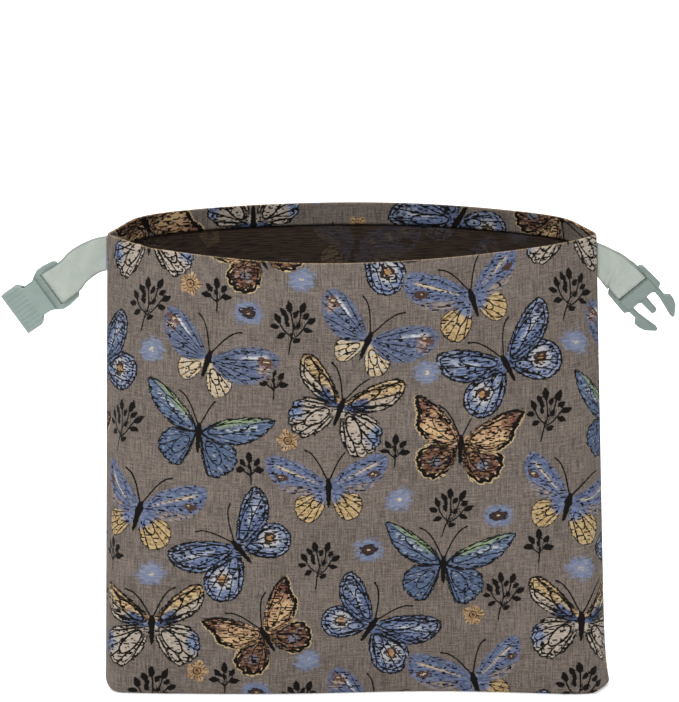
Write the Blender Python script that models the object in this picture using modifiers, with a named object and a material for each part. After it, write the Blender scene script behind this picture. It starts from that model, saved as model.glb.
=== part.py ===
"""Bread bag of patterned cloth, standing open, with half a side-release buckle on a short strap at each side seam.

Units are metres, +Z is up and the bag's front faces -Y. The tables below are in millimetres.
"""

import math

import bmesh
import bpy
import numpy as np
from mathutils import Matrix, Vector

MM = 0.001

# Cloth and seams
CLOTH_THICKNESS = 1.6 * MM
HEM_THICKNESS = 2.6 * MM
HEM_DEPTH = 16.0 * MM
SEAM_GAP = 0.3 * MM
BOTTOM_FOLD_RADIUS = 4.0 * MM

# The bag's plan at the rim and on the floor. Each row is a point that the cloth passes, from the left seam to the right
# one: its place, and x and y in millimetres.
RIM_FRONT = (
    ("left seam", -177.2, 0.0),
    ("left seam turn", -177.2, -2.5),
    ("left side", -166.5, -15.5),
    ("left corner", -149.0, -33.5),
    ("left quarter", -108.5, -55.5),
    ("left of middle", -45.0, -71.5),
    ("right of middle", 36.0, -66.0),
    ("right quarter", 97.0, -50.0),
    ("right corner", 146.0, -26.5),
    ("right side", 165.5, -12.5),
    ("right seam turn", 174.1, -2.5),
    ("right seam", 174.1, 0.0),
)
RIM_BACK = (
    ("left seam", -177.2, 0.0),
    ("left seam turn", -177.2, 2.5),
    ("left side", -170.0, 16.0),
    ("left corner", -152.0, 41.0),
    ("left quarter", -118.0, 58.0),
    ("left of middle", -50.0, 72.0),
    ("right of middle", 42.0, 72.5),
    ("right quarter", 110.0, 57.0),
    ("right corner", 148.0, 38.0),
    ("right side", 168.0, 14.0),
    ("right seam turn", 174.1, 2.5),
    ("right seam", 174.1, 0.0),
)
FLOOR_FRONT = (
    ("left seam", -184.2, 2.0),
    ("left seam turn", -184.2, -1.5),
    ("left gusset", -181.5, -18.0),
    ("before left corner", -178.0, -28.5),
    ("left corner", -173.0, -34.0),
    ("after left corner", -163.0, -36.0),
    ("left of middle", -60.0, -38.0),
    ("drawn in", 66.0, -33.0),
    ("right of middle", 130.0, -36.5),
    ("before right corner", 165.0, -39.5),
    ("right corner", 175.5, -38.0),
    ("after right corner", 180.0, -32.5),
    ("right seam turn", 185.2, -17.0),
    ("right seam", 185.2, -14.0),
)
FLOOR_BACK = (
    ("left seam", -184.2, 2.0),
    ("left seam turn", -184.2, 5.5),
    ("before left corner", -181.0, 21.0),
    ("left corner", -175.0, 27.0),
    ("after left corner", -162.0, 29.0),
    ("middle", -10.0, 27.0),
    ("before right corner", 163.0, 22.5),
    ("right corner", 176.5, 19.5),
    ("after right corner", 181.5, 12.0),
    ("right gusset", 184.2, -2.0),
    ("right seam turn", 185.2, -10.5),
    ("right seam", 185.2, -14.0),
)

# Height of the rim above the floor: share of the panel's width from the left seam, height in millimetres
RIM_HEIGHT_FRONT = ((0.0, 340.0), (0.13, 339.2), (0.5, 337.0), (0.85, 339.0), (1.0, 340.0))
RIM_HEIGHT_BACK = ((0.0, 340.0), (0.1, 343.0), (0.5, 344.5), (0.9, 343.0), (1.0, 340.0))

# Soft ridges (positive) and troughs (negative), in millimetres on the cloth: centre across from the left seam, centre
# above the floor, angle of its length in degrees, half length, half width, height
RELIEF_FRONT = (
    (200, 130, 0, 170, 90, 3.0),
    (30, 296, -58, 46, 9, -1.6),
    (372, 292, 60, 50, 9, -1.5),
    (52, 334, -80, 26, 8, 1.2),
    (44, 34, 62, 42, 8, -1.5),
    (370, 30, -60, 40, 8, -1.6),
    (262, 14, 4, 60, 12, -1.4),
    (120, 230, 84, 90, 22, -0.9),
    (292, 200, 96, 110, 24, 0.9),
)
RELIEF_BACK = (
    (205, 120, 0, 160, 90, 3.0),
    (34, 292, -60, 48, 10, -1.7),
    (368, 296, 62, 44, 9, -1.5),
    (48, 36, 60, 44, 9, -1.6),
    (366, 32, -58, 42, 8, -1.4),
    (140, 200, 80, 110, 26, -1.1),
    (270, 180, 98, 120, 28, 1.0),
)
RELIEF_CLEAR_OF_SEAM = 14.0 * MM

# At its foot the right side seam stands out as a small ear
EAR_OUT = 4.0 * MM
EAR_HEIGHT = 18.0 * MM
EAR_BREADTH = 16.0 * MM

# Mesh steps of a panel
SIDE_STEPS = 4
MIDDLE_STEPS = 26
WALL_SHARES = (0.05, 0.1, 0.17, 0.25, 0.33, 0.41, 0.49, 0.57, 0.65, 0.73, 0.81, 0.88)

# Straps: doubled webbing, looped round the buckle's bar
WEBBING_WIDTH = 25.0 * MM
WEBBING_THICKNESS = 1.4 * MM
LAYER_GAP = 0.7 * MM
BAR_CLEARANCE = 0.45 * MM
STRAP_SEAT_GAP = 0.35 * MM
STRAP_STEPS = 12
BAR_REACHED = 0.7
TURN_STEPS = 6

# Height of the middle of each strap's root on its side seam
STRAP_LEFT_ROOT = 325.4 * MM
STRAP_RIGHT_ROOT = 320.5 * MM

# The straps' middle lines between root and buckle, in the plane y = 0, millimetres: x, z, and the angle of the
# webbing's width to upright, degrees
STRAP_LEFT_ROUTE = (
    (-184.5, 323.9, 9),
    (-191.6, 320.4, 20),
    (-199.0, 315.0, 31),
)
STRAP_RIGHT_ROUTE = (
    (180.5, 317.2, -14),
    (187.2, 312.8, -33),
)
STRAP_LEAD_IN = 2.0 * MM

# Buckle, common to both halves
PLASTIC_ROUNDING = 0.6 * MM
BAR_THICKNESS = 4.2 * MM
SLOT_ACROSS = 26.4 * MM

# Socket half. Its axis starts at the middle of the mouth and runs to the bar
SOCKET_MOUTH = (-244.9 * MM, 279.9 * MM)
SOCKET_AXIS_ANGLE = 35.4
SOCKET_TWIST = -4.0
SOCKET_BODY_THICKNESS = 9.4 * MM
SOCKET_CAVITY = (25.0 * MM, 27.0 * MM, 5.6 * MM)
SOCKET_SLOT = (32.0 * MM, 37.6 * MM)
SOCKET_END = 47.2 * MM
# Half outlines: along the axis and across it, millimetres
SOCKET_BODY_HALF = (
    (0.0, 16.6),
    (12.4, 16.8),
    (13.4, 16.2),
    (16.9, 12.1),
    (23.0, 12.2),
    (27.5, 13.6),
)
SOCKET_FRAME_HALF = (
    (18.0, 11.6),
    (24.0, 12.3),
    (28.0, 15.2),
    (31.5, 17.0),
    (37.0, 17.2),
    (45.6, 15.9),
    (SOCKET_END / MM, 14.2),
)

# Plug half. Its axis starts at the bar and runs to the tips of the arms
PLUG_BAR_END = (195.6 * MM, 305.6 * MM)
PLUG_AXIS_ANGLE = -47.7
PLUG_TWIST = 7.0
PLUG_BODY_THICKNESS = 6.2 * MM
PLUG_SLOT = (3.9 * MM, 8.9 * MM)
PLUG_START = -1.8 * MM
PLUG_BODY = (9.8 * MM, 19.0 * MM, 13.6 * MM)
PLUG_HALF = (
    (PLUG_START / MM, 14.6),
    (-0.2, 16.4),
    (9.0, 17.0),
    (18.6, 17.3),
    (20.2, 14.0),
    (26.3, 13.6),
    (29.6, 17.0),
    (34.0, 16.5),
    (38.4, 14.6),
    (43.6, 9.2),
    (43.8, 7.4),
    (41.0, 6.9),
    (33.0, 8.6),
    (26.0, 9.9),
    (21.0, 10.1),
    (19.6, 8.8),
    (19.6, 4.2),
    (20.8, 2.6),
    (31.4, 2.2),
    (32.4, 1.2),
)


def clear_scene():
    for old in list(bpy.data.objects):
        bpy.data.objects.remove(old, do_unlink=True)


def new_collection(name):
    collection = bpy.data.collections.new(name)
    bpy.context.scene.collection.children.link(collection)
    return collection


def finish(name, colour, roughness, sheen=0.0):
    material = bpy.data.materials.new(name)
    material.use_nodes = True
    shader = material.node_tree.nodes["Principled BSDF"]
    shader.inputs["Base Color"].default_value = (*colour, 1.0)
    shader.inputs["Roughness"].default_value = roughness
    shader.inputs["Metallic"].default_value = 0.0
    shader.inputs["Sheen Weight"].default_value = sheen
    return material


def cloth_finish():
    return finish("taupe_jacquard", (0.19, 0.155, 0.128), 0.9, 0.2)


def webbing_finish():
    return finish("sage_webbing", (0.44, 0.52, 0.45), 0.75, 0.1)


def plastic_finish():
    return finish("sage_plastic", (0.3, 0.38, 0.33), 0.42)


def new_object(name, mesh, collection, material):
    obj = bpy.data.objects.new(name, mesh)
    collection.objects.link(obj)
    mesh.materials.append(material)
    return obj


def smooth_between(table, at):
    """The second column of a two-column table, eased between its rows."""
    for (low, first), (high, second) in zip(table, table[1:]):
        if at <= high:
            share = (at - low) / (high - low)
            return first + (second - first) * share * share * (3 - 2 * share)
    return table[-1][1]


def curve_through(points, steps=24):
    """Points of a centripetal Catmull-Rom curve through the given points."""
    points = [np.asarray(p, float) for p in points]
    points = [2 * points[0] - points[1], *points, 2 * points[-1] - points[-2]]
    found = []
    for p0, p1, p2, p3 in zip(points, points[1:], points[2:], points[3:]):
        t0 = 0.0
        t1 = t0 + math.sqrt(np.linalg.norm(p1 - p0))
        t2 = t1 + math.sqrt(np.linalg.norm(p2 - p1))
        t3 = t2 + math.sqrt(np.linalg.norm(p3 - p2))
        for step in range(steps):
            t = t1 + (t2 - t1) * step / steps
            a1 = p0 + (p1 - p0) * (t - t0) / (t1 - t0)
            a2 = p1 + (p2 - p1) * (t - t1) / (t2 - t1)
            a3 = p2 + (p3 - p2) * (t - t2) / (t3 - t2)
            b1 = a1 + (a2 - a1) * (t - t0) / (t2 - t0)
            b2 = a2 + (a3 - a2) * (t - t1) / (t3 - t1)
            found.append(b1 + (b2 - b1) * (t - t1) / (t2 - t1))
    found.append(points[-2])
    return np.array(found)


def along(curve, shares):
    """Points at shares of a curve's length."""
    lengths = np.concatenate([[0.0], np.cumsum(np.linalg.norm(np.diff(curve, axis=0), axis=1))])
    at = np.asarray(shares) * lengths[-1]
    return np.stack([np.interp(at, lengths, curve[:, k]) for k in range(curve.shape[1])], axis=1)


def plan_curve(table):
    return curve_through([(x * MM, y * MM) for _, x, y in table])


def corner_shares(table):
    """Shares of the outline's length at which its two bottom corners lie."""
    curve = plan_curve(table)
    lengths = np.concatenate([[0.0], np.cumsum(np.linalg.norm(np.diff(curve, axis=0), axis=1))])
    shares = []
    for place in ("left corner", "right corner"):
        x, y = next((x * MM, y * MM) for name, x, y in table if name == place)
        nearest = np.argmin(np.hypot(curve[:, 0] - x, curve[:, 1] - y))
        shares.append(lengths[nearest] / lengths[-1])
    return shares


def column_shares(floor):
    """Where the panel's columns of points stand, as shares of its width. The bottom corners are columns."""
    left, right = corner_shares(floor)
    turn = 0.006
    start = [0.0, turn, *np.linspace(turn, left, SIDE_STEPS)[1:]]
    middle = np.linspace(left, right, MIDDLE_STEPS + 1)[1:-1]
    end = [*np.linspace(right, 1 - turn, SIDE_STEPS), 1.0]
    return np.array([*start, *middle, *end])


def relief_at(table, across, height):
    """How far the cloth stands proud at a place on it, from the table of ridges and troughs."""
    proud = 0.0
    for centre, above, angle, half_length, half_width, rise in table:
        dx = across / MM - centre
        dz = height / MM - above
        turn = math.radians(angle)
        lengthways = dx * math.cos(turn) + dz * math.sin(turn)
        sideways = dz * math.cos(turn) - dx * math.sin(turn)
        proud += rise * MM * math.exp(-((lengthways / half_length) ** 2) - (sideways / half_width) ** 2)
    return proud


class Panel:
    """One wall of the bag with its half of the bottom, as rows and columns of points on the cloth's outer face."""

    def __init__(self, side, rim, floor, rim_height, relief):
        self.side = side
        self.shares = column_shares(floor)
        self.rim = along(plan_curve(rim), self.shares)
        self.floor = along(plan_curve(floor), self.shares)
        self.rim_height = [smooth_between(rim_height, share) * MM for share in self.shares]
        self.relief = relief
        for outline in (self.rim, self.floor):
            self.square_to_seam(outline)

    def square_to_seam(self, outline):
        """Keeps the first and last stretch along Y, and leaves half the seam's gap."""
        outline[1, 0] = outline[0, 0]
        outline[-2, 0] = outline[-1, 0]
        outline[[0, -1], 1] += self.side * SEAM_GAP / 2

    def inward(self, outline):
        """Unit vectors in plan that point into the bag. The seam columns point along X."""
        run = np.gradient(outline, axis=0)
        run[0] = run[1] = run[-1] = run[-2] = (0.0, 1.0)
        normal = np.stack([-run[:, 1], run[:, 0]], axis=1)
        normal /= np.linalg.norm(normal, axis=1)[:, None]
        to_middle = outline.mean(axis=0) * (1.0, 0.0) - outline
        normal[np.sum(normal * to_middle, axis=1) < 0] *= -1
        return normal

    def outline_at(self, share):
        """The wall's plan at a share of its height, with its ridges and troughs."""
        plan = self.floor * (1 - share) + self.rim * share
        out = -self.inward(plan)
        steps = np.linalg.norm(np.diff(plan, axis=0), axis=1)
        across = np.concatenate([[0.0], np.cumsum(steps)])
        for column, distance in enumerate(across):
            height = share * self.rim_height[column]
            from_seam = min(distance, across[-1] - distance)
            eased = min(1.0, from_seam / RELIEF_CLEAR_OF_SEAM) ** 2
            plan[column] += out[column] * relief_at(self.relief, distance, height) * eased
            to_ear = math.exp(-(((across[-1] - distance) / EAR_BREADTH) ** 2))
            if column >= len(across) - 2:
                to_ear = 1.0
            plan[column, 0] += EAR_OUT * to_ear * math.exp(-height / EAR_HEIGHT)
        return plan

    def wall_rows(self):
        """Rows of points from the rim down to where the bottom fold starts."""
        top = np.mean(self.rim_height)
        hem_edge = 1 - HEM_DEPTH / top
        step = 0.5 * MM / top
        shares = [BOTTOM_FOLD_RADIUS / top, *WALL_SHARES, hem_edge - step, hem_edge + step, 0.978, 1.0]
        rows = []
        for share in reversed(shares):
            plan = self.outline_at(share)
            rows.append([(x, y, share * h) for (x, y), h in zip(plan, self.rim_height)])
        return rows

    def fold_rows(self):
        """Rows of points round the bottom fold, down to the floor."""
        plan = self.outline_at(BOTTOM_FOLD_RADIUS / np.mean(self.rim_height))
        inward = self.inward(plan)
        rows = []
        for angle in (45, 90):
            inset = BOTTOM_FOLD_RADIUS * (1 - math.cos(math.radians(angle)))
            height = BOTTOM_FOLD_RADIUS * (1 - math.sin(math.radians(angle)))
            rows.append([(x, y, height) for x, y in plan + inward * inset])
        return rows

    def floor_rows(self, ring):
        """Rows of points on the floor, from the row after the bottom fold to the seam under the bag."""
        corner = SIDE_STEPS
        front = np.array(ring[corner : len(ring) - corner])
        spread = (front[:, 0] - front[0, 0]) / (front[-1, 0] - front[0, 0])
        rows = []
        for step in range(1, corner + 1):
            left = np.array(ring[corner - step])
            right = np.array(ring[len(ring) - 1 - corner + step])
            straight = left + (right - left) * spread[:, None]
            bend = front - (front[0] + (front[-1] - front[0]) * spread[:, None])
            rows.append(straight + bend * (1 - step / corner))
        return rows


def panel_mesh(name, panel):
    """The outer face of a panel: a loft from the rim to the floor, then in under the bag as far as the bottom seam."""
    mesh = bpy.data.meshes.new(name)
    bm = bmesh.new()
    layer = bm.verts.layers.deform.verify()
    hem_weight_below = CLOTH_THICKNESS / HEM_THICKNESS
    rows = []
    for row in panel.wall_rows() + panel.fold_rows():
        rows.append([bm.verts.new(point) for point in row])
    corner = SIDE_STEPS
    ring = rows[-1]
    below = [ring[corner : len(ring) - corner]]
    for step, row in enumerate(panel.floor_rows([v.co[:] for v in ring]), start=1):
        inner = [bm.verts.new(point) for point in row[1:-1]]
        below.append([ring[corner - step], *inner, ring[len(ring) - 1 - corner + step]])
    for strip in (rows, below):
        for upper, lower in zip(strip, strip[1:]):
            for column in range(len(upper) - 1):
                corners = (upper[column], upper[column + 1], lower[column + 1], lower[column])
                bm.faces.new(corners if panel.side > 0 else corners[::-1])
    for vert in bm.verts:
        vert[layer][0] = hem_weight_below
    for row in rows[:3]:
        for vert in row:
            vert[layer][0] = 1.0
    bm.to_mesh(mesh)
    bm.free()
    mesh.shade_smooth()
    return mesh


def add_panel(name, panel, collection):
    obj = new_object(name, panel_mesh(name, panel), collection, cloth_finish())
    obj.vertex_groups.new(name="hem")
    solid = obj.modifiers.new("cloth", "SOLIDIFY")
    solid.thickness = HEM_THICKNESS
    solid.offset = -1.0
    solid.use_even_offset = True
    solid.use_quality_normals = True
    solid.vertex_group = "hem"
    return obj


def add_front_panel(collection):
    return add_panel(
        "front_panel", Panel(-1, RIM_FRONT, FLOOR_FRONT, RIM_HEIGHT_FRONT, RELIEF_FRONT), collection
    )


def add_back_panel(collection):
    return add_panel("back_panel", Panel(1, RIM_BACK, FLOOR_BACK, RIM_HEIGHT_BACK, RELIEF_BACK), collection)


def buckle_frame(origin, angle, twist):
    """A matrix whose X runs along the buckle's axis and whose Z faces the front, turned about the axis by the twist."""
    turn = math.radians(angle)
    x = Vector((math.cos(turn), 0.0, math.sin(turn)))
    z = Vector((0.0, -1.0, 0.0))
    frame = Matrix((x, z.cross(x), z)).transposed().to_4x4()
    frame.translation = Vector((origin[0], 0.0, origin[1]))
    return frame @ Matrix.Rotation(math.radians(twist), 4, "X")


def mirrored(half):
    """A closed outline from its half on the +Y side."""
    upper = [(x * MM, y * MM) for x, y in half]
    return upper + [(x, -y) for x, y in reversed(upper)]


def plate(name, outlines, thickness, collection):
    """A flat plate with rounded edges. The first outline is its edge, and the others are holes."""
    curve = bpy.data.curves.new(name, "CURVE")
    curve.dimensions = "2D"
    curve.fill_mode = "BOTH"
    for outline in outlines:
        spline = curve.splines.new("POLY")
        spline.points.add(len(outline) - 1)
        for point, (x, y) in zip(spline.points, outline):
            point.co = (x, y, 0.0, 1.0)
        spline.use_cyclic_u = True
    curve.extrude = thickness / 2 - PLASTIC_ROUNDING
    curve.bevel_depth = PLASTIC_ROUNDING
    curve.bevel_resolution = 1
    curve.offset = -PLASTIC_ROUNDING
    flat = bpy.data.objects.new(name, curve)
    collection.objects.link(flat)
    bpy.context.view_layer.update()
    solid = as_mesh(flat)
    bpy.data.objects.remove(flat, do_unlink=True)
    obj = bpy.data.objects.new(name, solid)
    collection.objects.link(obj)
    return obj


def as_mesh(obj):
    """A closed mesh of an object as it shows, with the loose caps welded."""
    graph = bpy.context.evaluated_depsgraph_get()
    mesh = bpy.data.meshes.new_from_object(obj.evaluated_get(graph))
    bm = bmesh.new()
    bm.from_mesh(mesh)
    bmesh.ops.remove_doubles(bm, verts=bm.verts, dist=0.01 * MM)
    bmesh.ops.recalc_face_normals(bm, faces=bm.faces)
    bm.to_mesh(mesh)
    bm.free()
    return mesh


def rectangle(x_low, x_high, half_across):
    return [(x_low, half_across), (x_high, half_across), (x_high, -half_across), (x_low, -half_across)]


def cutter_box(name, low, high, collection):
    bpy.ops.mesh.primitive_cube_add(size=1.0)
    box = bpy.context.object
    box.name = name
    box.location = [(a + b) / 2 for a, b in zip(low, high)]
    box.scale = [b - a for a, b in zip(low, high)]
    for old in list(box.users_collection):
        old.objects.unlink(box)
    collection.objects.link(box)
    return as_helper(box)


def as_helper(obj):
    obj.hide_render = True
    obj.display_type = "WIRE"
    return obj


def combine(target, other, operation):
    change = target.modifiers.new(other.name, "BOOLEAN")
    change.operation = operation
    change.solver = "EXACT"
    change.object = other


def place_buckle(body, helpers, frame):
    """Carries the body to its place, with its helpers parented to it."""
    bpy.context.view_layer.update()
    for helper in helpers:
        helper.parent = body
    body.matrix_world = frame


def add_buckle_socket(collection, helpers):
    """The hollow half: a flat body with release windows in its sides, and a frame with the webbing's bar."""
    body = plate("buckle_socket", [mirrored(SOCKET_BODY_HALF)], SOCKET_BODY_THICKNESS, collection)
    body.data.materials.append(plastic_finish())
    frame = as_helper(plate("socket_frame", [mirrored(SOCKET_FRAME_HALF)], BAR_THICKNESS, helpers))
    deep, wide, high = SOCKET_CAVITY
    cavity = cutter_box("socket_cavity", (-2 * MM, -wide / 2, -high / 2), (deep, wide / 2, high / 2), helpers)
    start, end = SOCKET_SLOT
    slot = cutter_box("socket_slot", (start, -SLOT_ACROSS / 2, -9 * MM), (end, SLOT_ACROSS / 2, 9 * MM), helpers)
    combine(body, frame, "UNION")
    combine(body, cavity, "DIFFERENCE")
    combine(body, slot, "DIFFERENCE")
    place_buckle(body, [frame, cavity, slot], buckle_frame(SOCKET_MOUTH, SOCKET_AXIS_ANGLE, SOCKET_TWIST))
    return body


def add_buckle_plug(collection, helpers):
    """The pronged half: a frame with the webbing's bar, two hooked arms and a guide between them."""
    start, end = PLUG_SLOT
    slot = rectangle(start, end, SLOT_ACROSS / 2)
    plug = plate("buckle_plug", [mirrored(PLUG_HALF), slot], BAR_THICKNESS, collection)
    plug.data.materials.append(plastic_finish())
    low, high, half_across = PLUG_BODY
    block = as_helper(plate("plug_body", [rectangle(low, high, half_across)], PLUG_BODY_THICKNESS, helpers))
    combine(plug, block, "UNION")
    place_buckle(plug, [block], buckle_frame(PLUG_BAR_END, PLUG_AXIS_ANGLE, PLUG_TWIST))
    return plug


def seam_root(place, height):
    """Where a strap meets a side seam: x and z in millimetres, and the seam's lean in degrees."""
    rim = next(x for name, x, _ in RIM_FRONT if name == place)
    floor = next(x for name, x, _ in FLOOR_FRONT if name == place)
    top = RIM_HEIGHT_FRONT[0][1]
    x = floor + (rim - floor) * (height / MM) / top
    x += math.copysign(STRAP_SEAT_GAP / MM, x)
    return (x, height / MM, math.degrees(math.atan2(floor - rim, top)))


def on_axis(origin, angle, distance):
    """A place on a buckle's axis as a row of a strap's route."""
    turn = math.radians(angle)
    x = origin[0] + distance * math.cos(turn)
    z = origin[1] + distance * math.sin(turn)
    return (x / MM, z / MM, angle)


def strap_stations(route, twist):
    """Places along a doubled strap, from its front end at the seam, round the bar and back: middle, width and normal."""
    middle = curve_through([(x * MM, z * MM) for x, z, _ in route])
    lean = curve_through([(row, angle) for row, (_, _, angle) in enumerate(route)])
    shares = np.linspace(0.0, 1.0, STRAP_STEPS)
    line = along(middle, shares)
    angles = np.interp(shares * (len(route) - 1), lean[:, 0], lean[:, 1])
    last = line[-1] - line[-2]
    last /= np.linalg.norm(last)
    near = (LAYER_GAP + WEBBING_THICKNESS) / 2
    apart = BAR_THICKNESS / 2 + BAR_CLEARANCE + WEBBING_THICKNESS / 2
    found = []
    for number, ((x, z), angle) in enumerate(zip(line, angles)):
        share = number / (len(line) - 1)
        offset = near + (apart - near) * min(1.0, share / BAR_REACHED) ** 2
        turn = Matrix.Rotation(math.radians(twist * share), 3, Vector((last[0], 0.0, last[1])))
        upright = Vector((math.sin(math.radians(-angle)), 0.0, math.cos(math.radians(angle))))
        found.append((Vector((x, 0.0, z)), turn @ upright, turn @ Vector((0.0, -offset, 0.0))))
    centre, width, normal = found[-1]
    ahead = Vector((last[0], 0.0, last[1]))
    turned = []
    for step in range(1, TURN_STEPS):
        angle = math.pi * step / TURN_STEPS
        lead = ahead * (normal.length * math.sin(angle))
        turned.append((centre + lead, width, normal * math.cos(angle)))
    back = [(place, across, -away) for place, across, away in reversed(found)]
    return found + turned + back


def add_strap(name, route, twist, collection):
    """A strip of webbing that leaves the seam in two layers and loops round the bar."""
    mesh = bpy.data.meshes.new(name)
    bm = bmesh.new()
    rows = []
    for middle, width, away in strap_stations(route, twist):
        half = width * (WEBBING_WIDTH / 2)
        rows.append([bm.verts.new(middle + away + half * side) for side in (-1, 0, 1)])
    for first, second in zip(rows, rows[1:]):
        for column in range(2):
            bm.faces.new((first[column], second[column], second[column + 1], first[column + 1]))
    bmesh.ops.recalc_face_normals(bm, faces=bm.faces)
    bm.to_mesh(mesh)
    bm.free()
    mesh.shade_smooth()
    strap = new_object(name, mesh, collection, webbing_finish())
    solid = strap.modifiers.new("webbing", "SOLIDIFY")
    solid.thickness = WEBBING_THICKNESS
    solid.offset = 0.0
    return strap


def add_strap_left(collection):
    route = (
        seam_root("left seam", STRAP_LEFT_ROOT),
        *STRAP_LEFT_ROUTE,
        on_axis(SOCKET_MOUTH, SOCKET_AXIS_ANGLE, SOCKET_END + STRAP_LEAD_IN),
        on_axis(SOCKET_MOUTH, SOCKET_AXIS_ANGLE, SOCKET_SLOT[1]),
    )
    return add_strap("strap_left", route, -SOCKET_TWIST, collection)


def add_strap_right(collection):
    route = (
        seam_root("right seam", STRAP_RIGHT_ROOT),
        *STRAP_RIGHT_ROUTE,
        on_axis(PLUG_BAR_END, PLUG_AXIS_ANGLE, PLUG_START - STRAP_LEAD_IN),
        on_axis(PLUG_BAR_END, PLUG_AXIS_ANGLE, PLUG_SLOT[0]),
    )
    return add_strap("strap_right", route, PLUG_TWIST, collection)


def stand_at_origin(parts):
    """Moves the parts so that the middle of their box is over the origin and their foot is at z = 0."""
    bpy.context.view_layer.update()
    graph = bpy.context.evaluated_depsgraph_get()
    corners = []
    for part in parts:
        shown = part.evaluated_get(graph)
        mesh = shown.to_mesh()
        corners += [shown.matrix_world @ vert.co for vert in mesh.vertices]
        shown.to_mesh_clear()
    corners = np.array(corners)
    low, high = corners.min(axis=0), corners.max(axis=0)
    shift = Vector((-(low[0] + high[0]) / 2, -(low[1] + high[1]) / 2, -low[2]))
    for part in parts:
        part.location += shift


def build():
    clear_scene()
    bag = new_collection("bread_bag")
    helpers = new_collection("cutters")
    parts = [
        add_front_panel(bag),
        add_back_panel(bag),
        add_strap_left(bag),
        add_strap_right(bag),
        add_buckle_socket(bag, helpers),
        add_buckle_plug(bag, helpers),
    ]
    stand_at_origin(parts)


build()
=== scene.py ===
"""Bread bag of taupe jacquard woven with butterflies, sprigs and flowers, standing open, with a half of a side-release
buckle on a short webbing strap at each side seam.

Units are metres, +Z is up and the bag's front faces -Y. Tables are in millimetres unless they say otherwise.
"""

import math
from functools import partialmethod
from types import SimpleNamespace

import bmesh
import bpy
import numpy as np
from mathutils import Matrix, Vector


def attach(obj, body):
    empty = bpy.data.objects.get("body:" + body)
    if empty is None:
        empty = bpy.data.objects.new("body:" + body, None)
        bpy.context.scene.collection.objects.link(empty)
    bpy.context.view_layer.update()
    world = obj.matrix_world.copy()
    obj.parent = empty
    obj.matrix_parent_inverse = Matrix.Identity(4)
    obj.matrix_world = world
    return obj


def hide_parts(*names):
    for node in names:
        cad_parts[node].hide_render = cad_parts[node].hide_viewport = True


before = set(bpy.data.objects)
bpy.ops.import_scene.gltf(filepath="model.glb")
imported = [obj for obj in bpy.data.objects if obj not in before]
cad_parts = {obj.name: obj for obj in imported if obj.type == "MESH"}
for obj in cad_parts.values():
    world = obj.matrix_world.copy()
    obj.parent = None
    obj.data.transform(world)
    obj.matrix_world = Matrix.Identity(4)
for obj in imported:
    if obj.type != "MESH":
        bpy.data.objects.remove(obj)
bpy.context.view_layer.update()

MM = 0.001

# Where the bag's own plan stands in the row frame
BAG_SHIFT = (11.181 * MM, -1.187 * MM, 0.0)

# Cloth
CLOTH_THICKNESS = 0.9 * MM
SEAM_GAP = 0.06 * MM
BOTTOM_FOLD_RADIUS = 4.0 * MM
HEM_DEPTH = 16.0 * MM
HEM_INSET = 2.3 * MM
CELL = 1.4 * MM
REVERSE_CELL = 4.0 * MM

# The bag's plan at the rim and on the floor, from the left seam to the right one: x, y. A floor's corners are told by
# their rows
RIM_FRONT = (
    (-177.2, 0.0), (-177.2, -2.5), (-166.5, -15.5), (-149.0, -33.5), (-108.5, -55.5), (-45.0, -71.5),
    (36.0, -66.0), (97.0, -50.0), (146.0, -26.5), (165.5, -12.5), (174.1, -2.5), (174.1, 0.0),
)
RIM_BACK = (
    (-177.2, 0.0), (-177.2, 2.5), (-170.0, 16.0), (-152.0, 41.0), (-118.0, 58.0), (-50.0, 72.0),
    (42.0, 72.5), (110.0, 57.0), (148.0, 38.0), (168.0, 14.0), (174.1, 2.5), (174.1, 0.0),
)
FLOOR_FRONT = (
    (-184.2, 2.0), (-184.2, -1.5), (-183.0, -18.0), (-180.5, -29.0), (-175.0, -35.0), (-164.0, -36.6), (-60.0, -38.0),
    (66.0, -33.0), (130.0, -36.5), (165.0, -39.5), (175.5, -38.0), (180.0, -32.5), (185.2, -17.0), (185.2, -14.0),
)
FLOOR_FRONT_CORNERS = (4, 10)
FLOOR_BACK = (
    (-184.2, 2.0), (-184.2, 5.5), (-181.0, 21.0), (-175.0, 27.0), (-162.0, 29.0), (-10.0, 27.0),
    (163.0, 22.5), (176.5, 19.5), (181.5, 12.0), (184.2, -2.0), (185.2, -10.5), (185.2, -14.0),
)
FLOOR_BACK_CORNERS = (3, 7)

# Height of the rim above the floor: share of the panel's width from the left seam, height
RIM_HEIGHT_FRONT = ((0.0, 340.0), (0.13, 339.2), (0.5, 337.0), (0.85, 339.0), (1.0, 340.0))
RIM_HEIGHT_BACK = ((0.0, 340.0), (0.1, 343.0), (0.5, 344.5), (0.9, 343.0), (1.0, 340.0))

# Soft ridges (positive) and troughs (negative) on the cloth: centre across from the left seam, centre above the floor,
# angle of its length in degrees, half length, half width, height
RELIEF_FRONT = (
    (200, 130, 0, 170, 90, 3.0), (30, 296, -58, 46, 9, -1.6), (372, 292, 60, 50, 9, -1.5),
    (52, 334, -80, 26, 8, 1.2), (44, 34, 62, 42, 8, -1.5), (370, 30, -60, 40, 8, -1.6),
    (262, 14, 4, 60, 12, -1.4), (120, 230, 84, 90, 22, -0.9), (292, 200, 96, 110, 24, 0.9),
    (38, 338, 82, 14, 3.5, -1.3), (18, 318, 20, 16, 4, -0.7), (388, 316, -24, 18, 4, -0.7),
    (16, 150, 78, 60, 4, -0.5), (390, 170, -82, 70, 4, -0.5), (24, 18, 30, 16, 3.5, -0.9),
    (386, 16, -34, 18, 4, -1.0), (150, 10, 3, 50, 5, 0.6), (330, 12, -5, 36, 5, 0.7),
)
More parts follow.
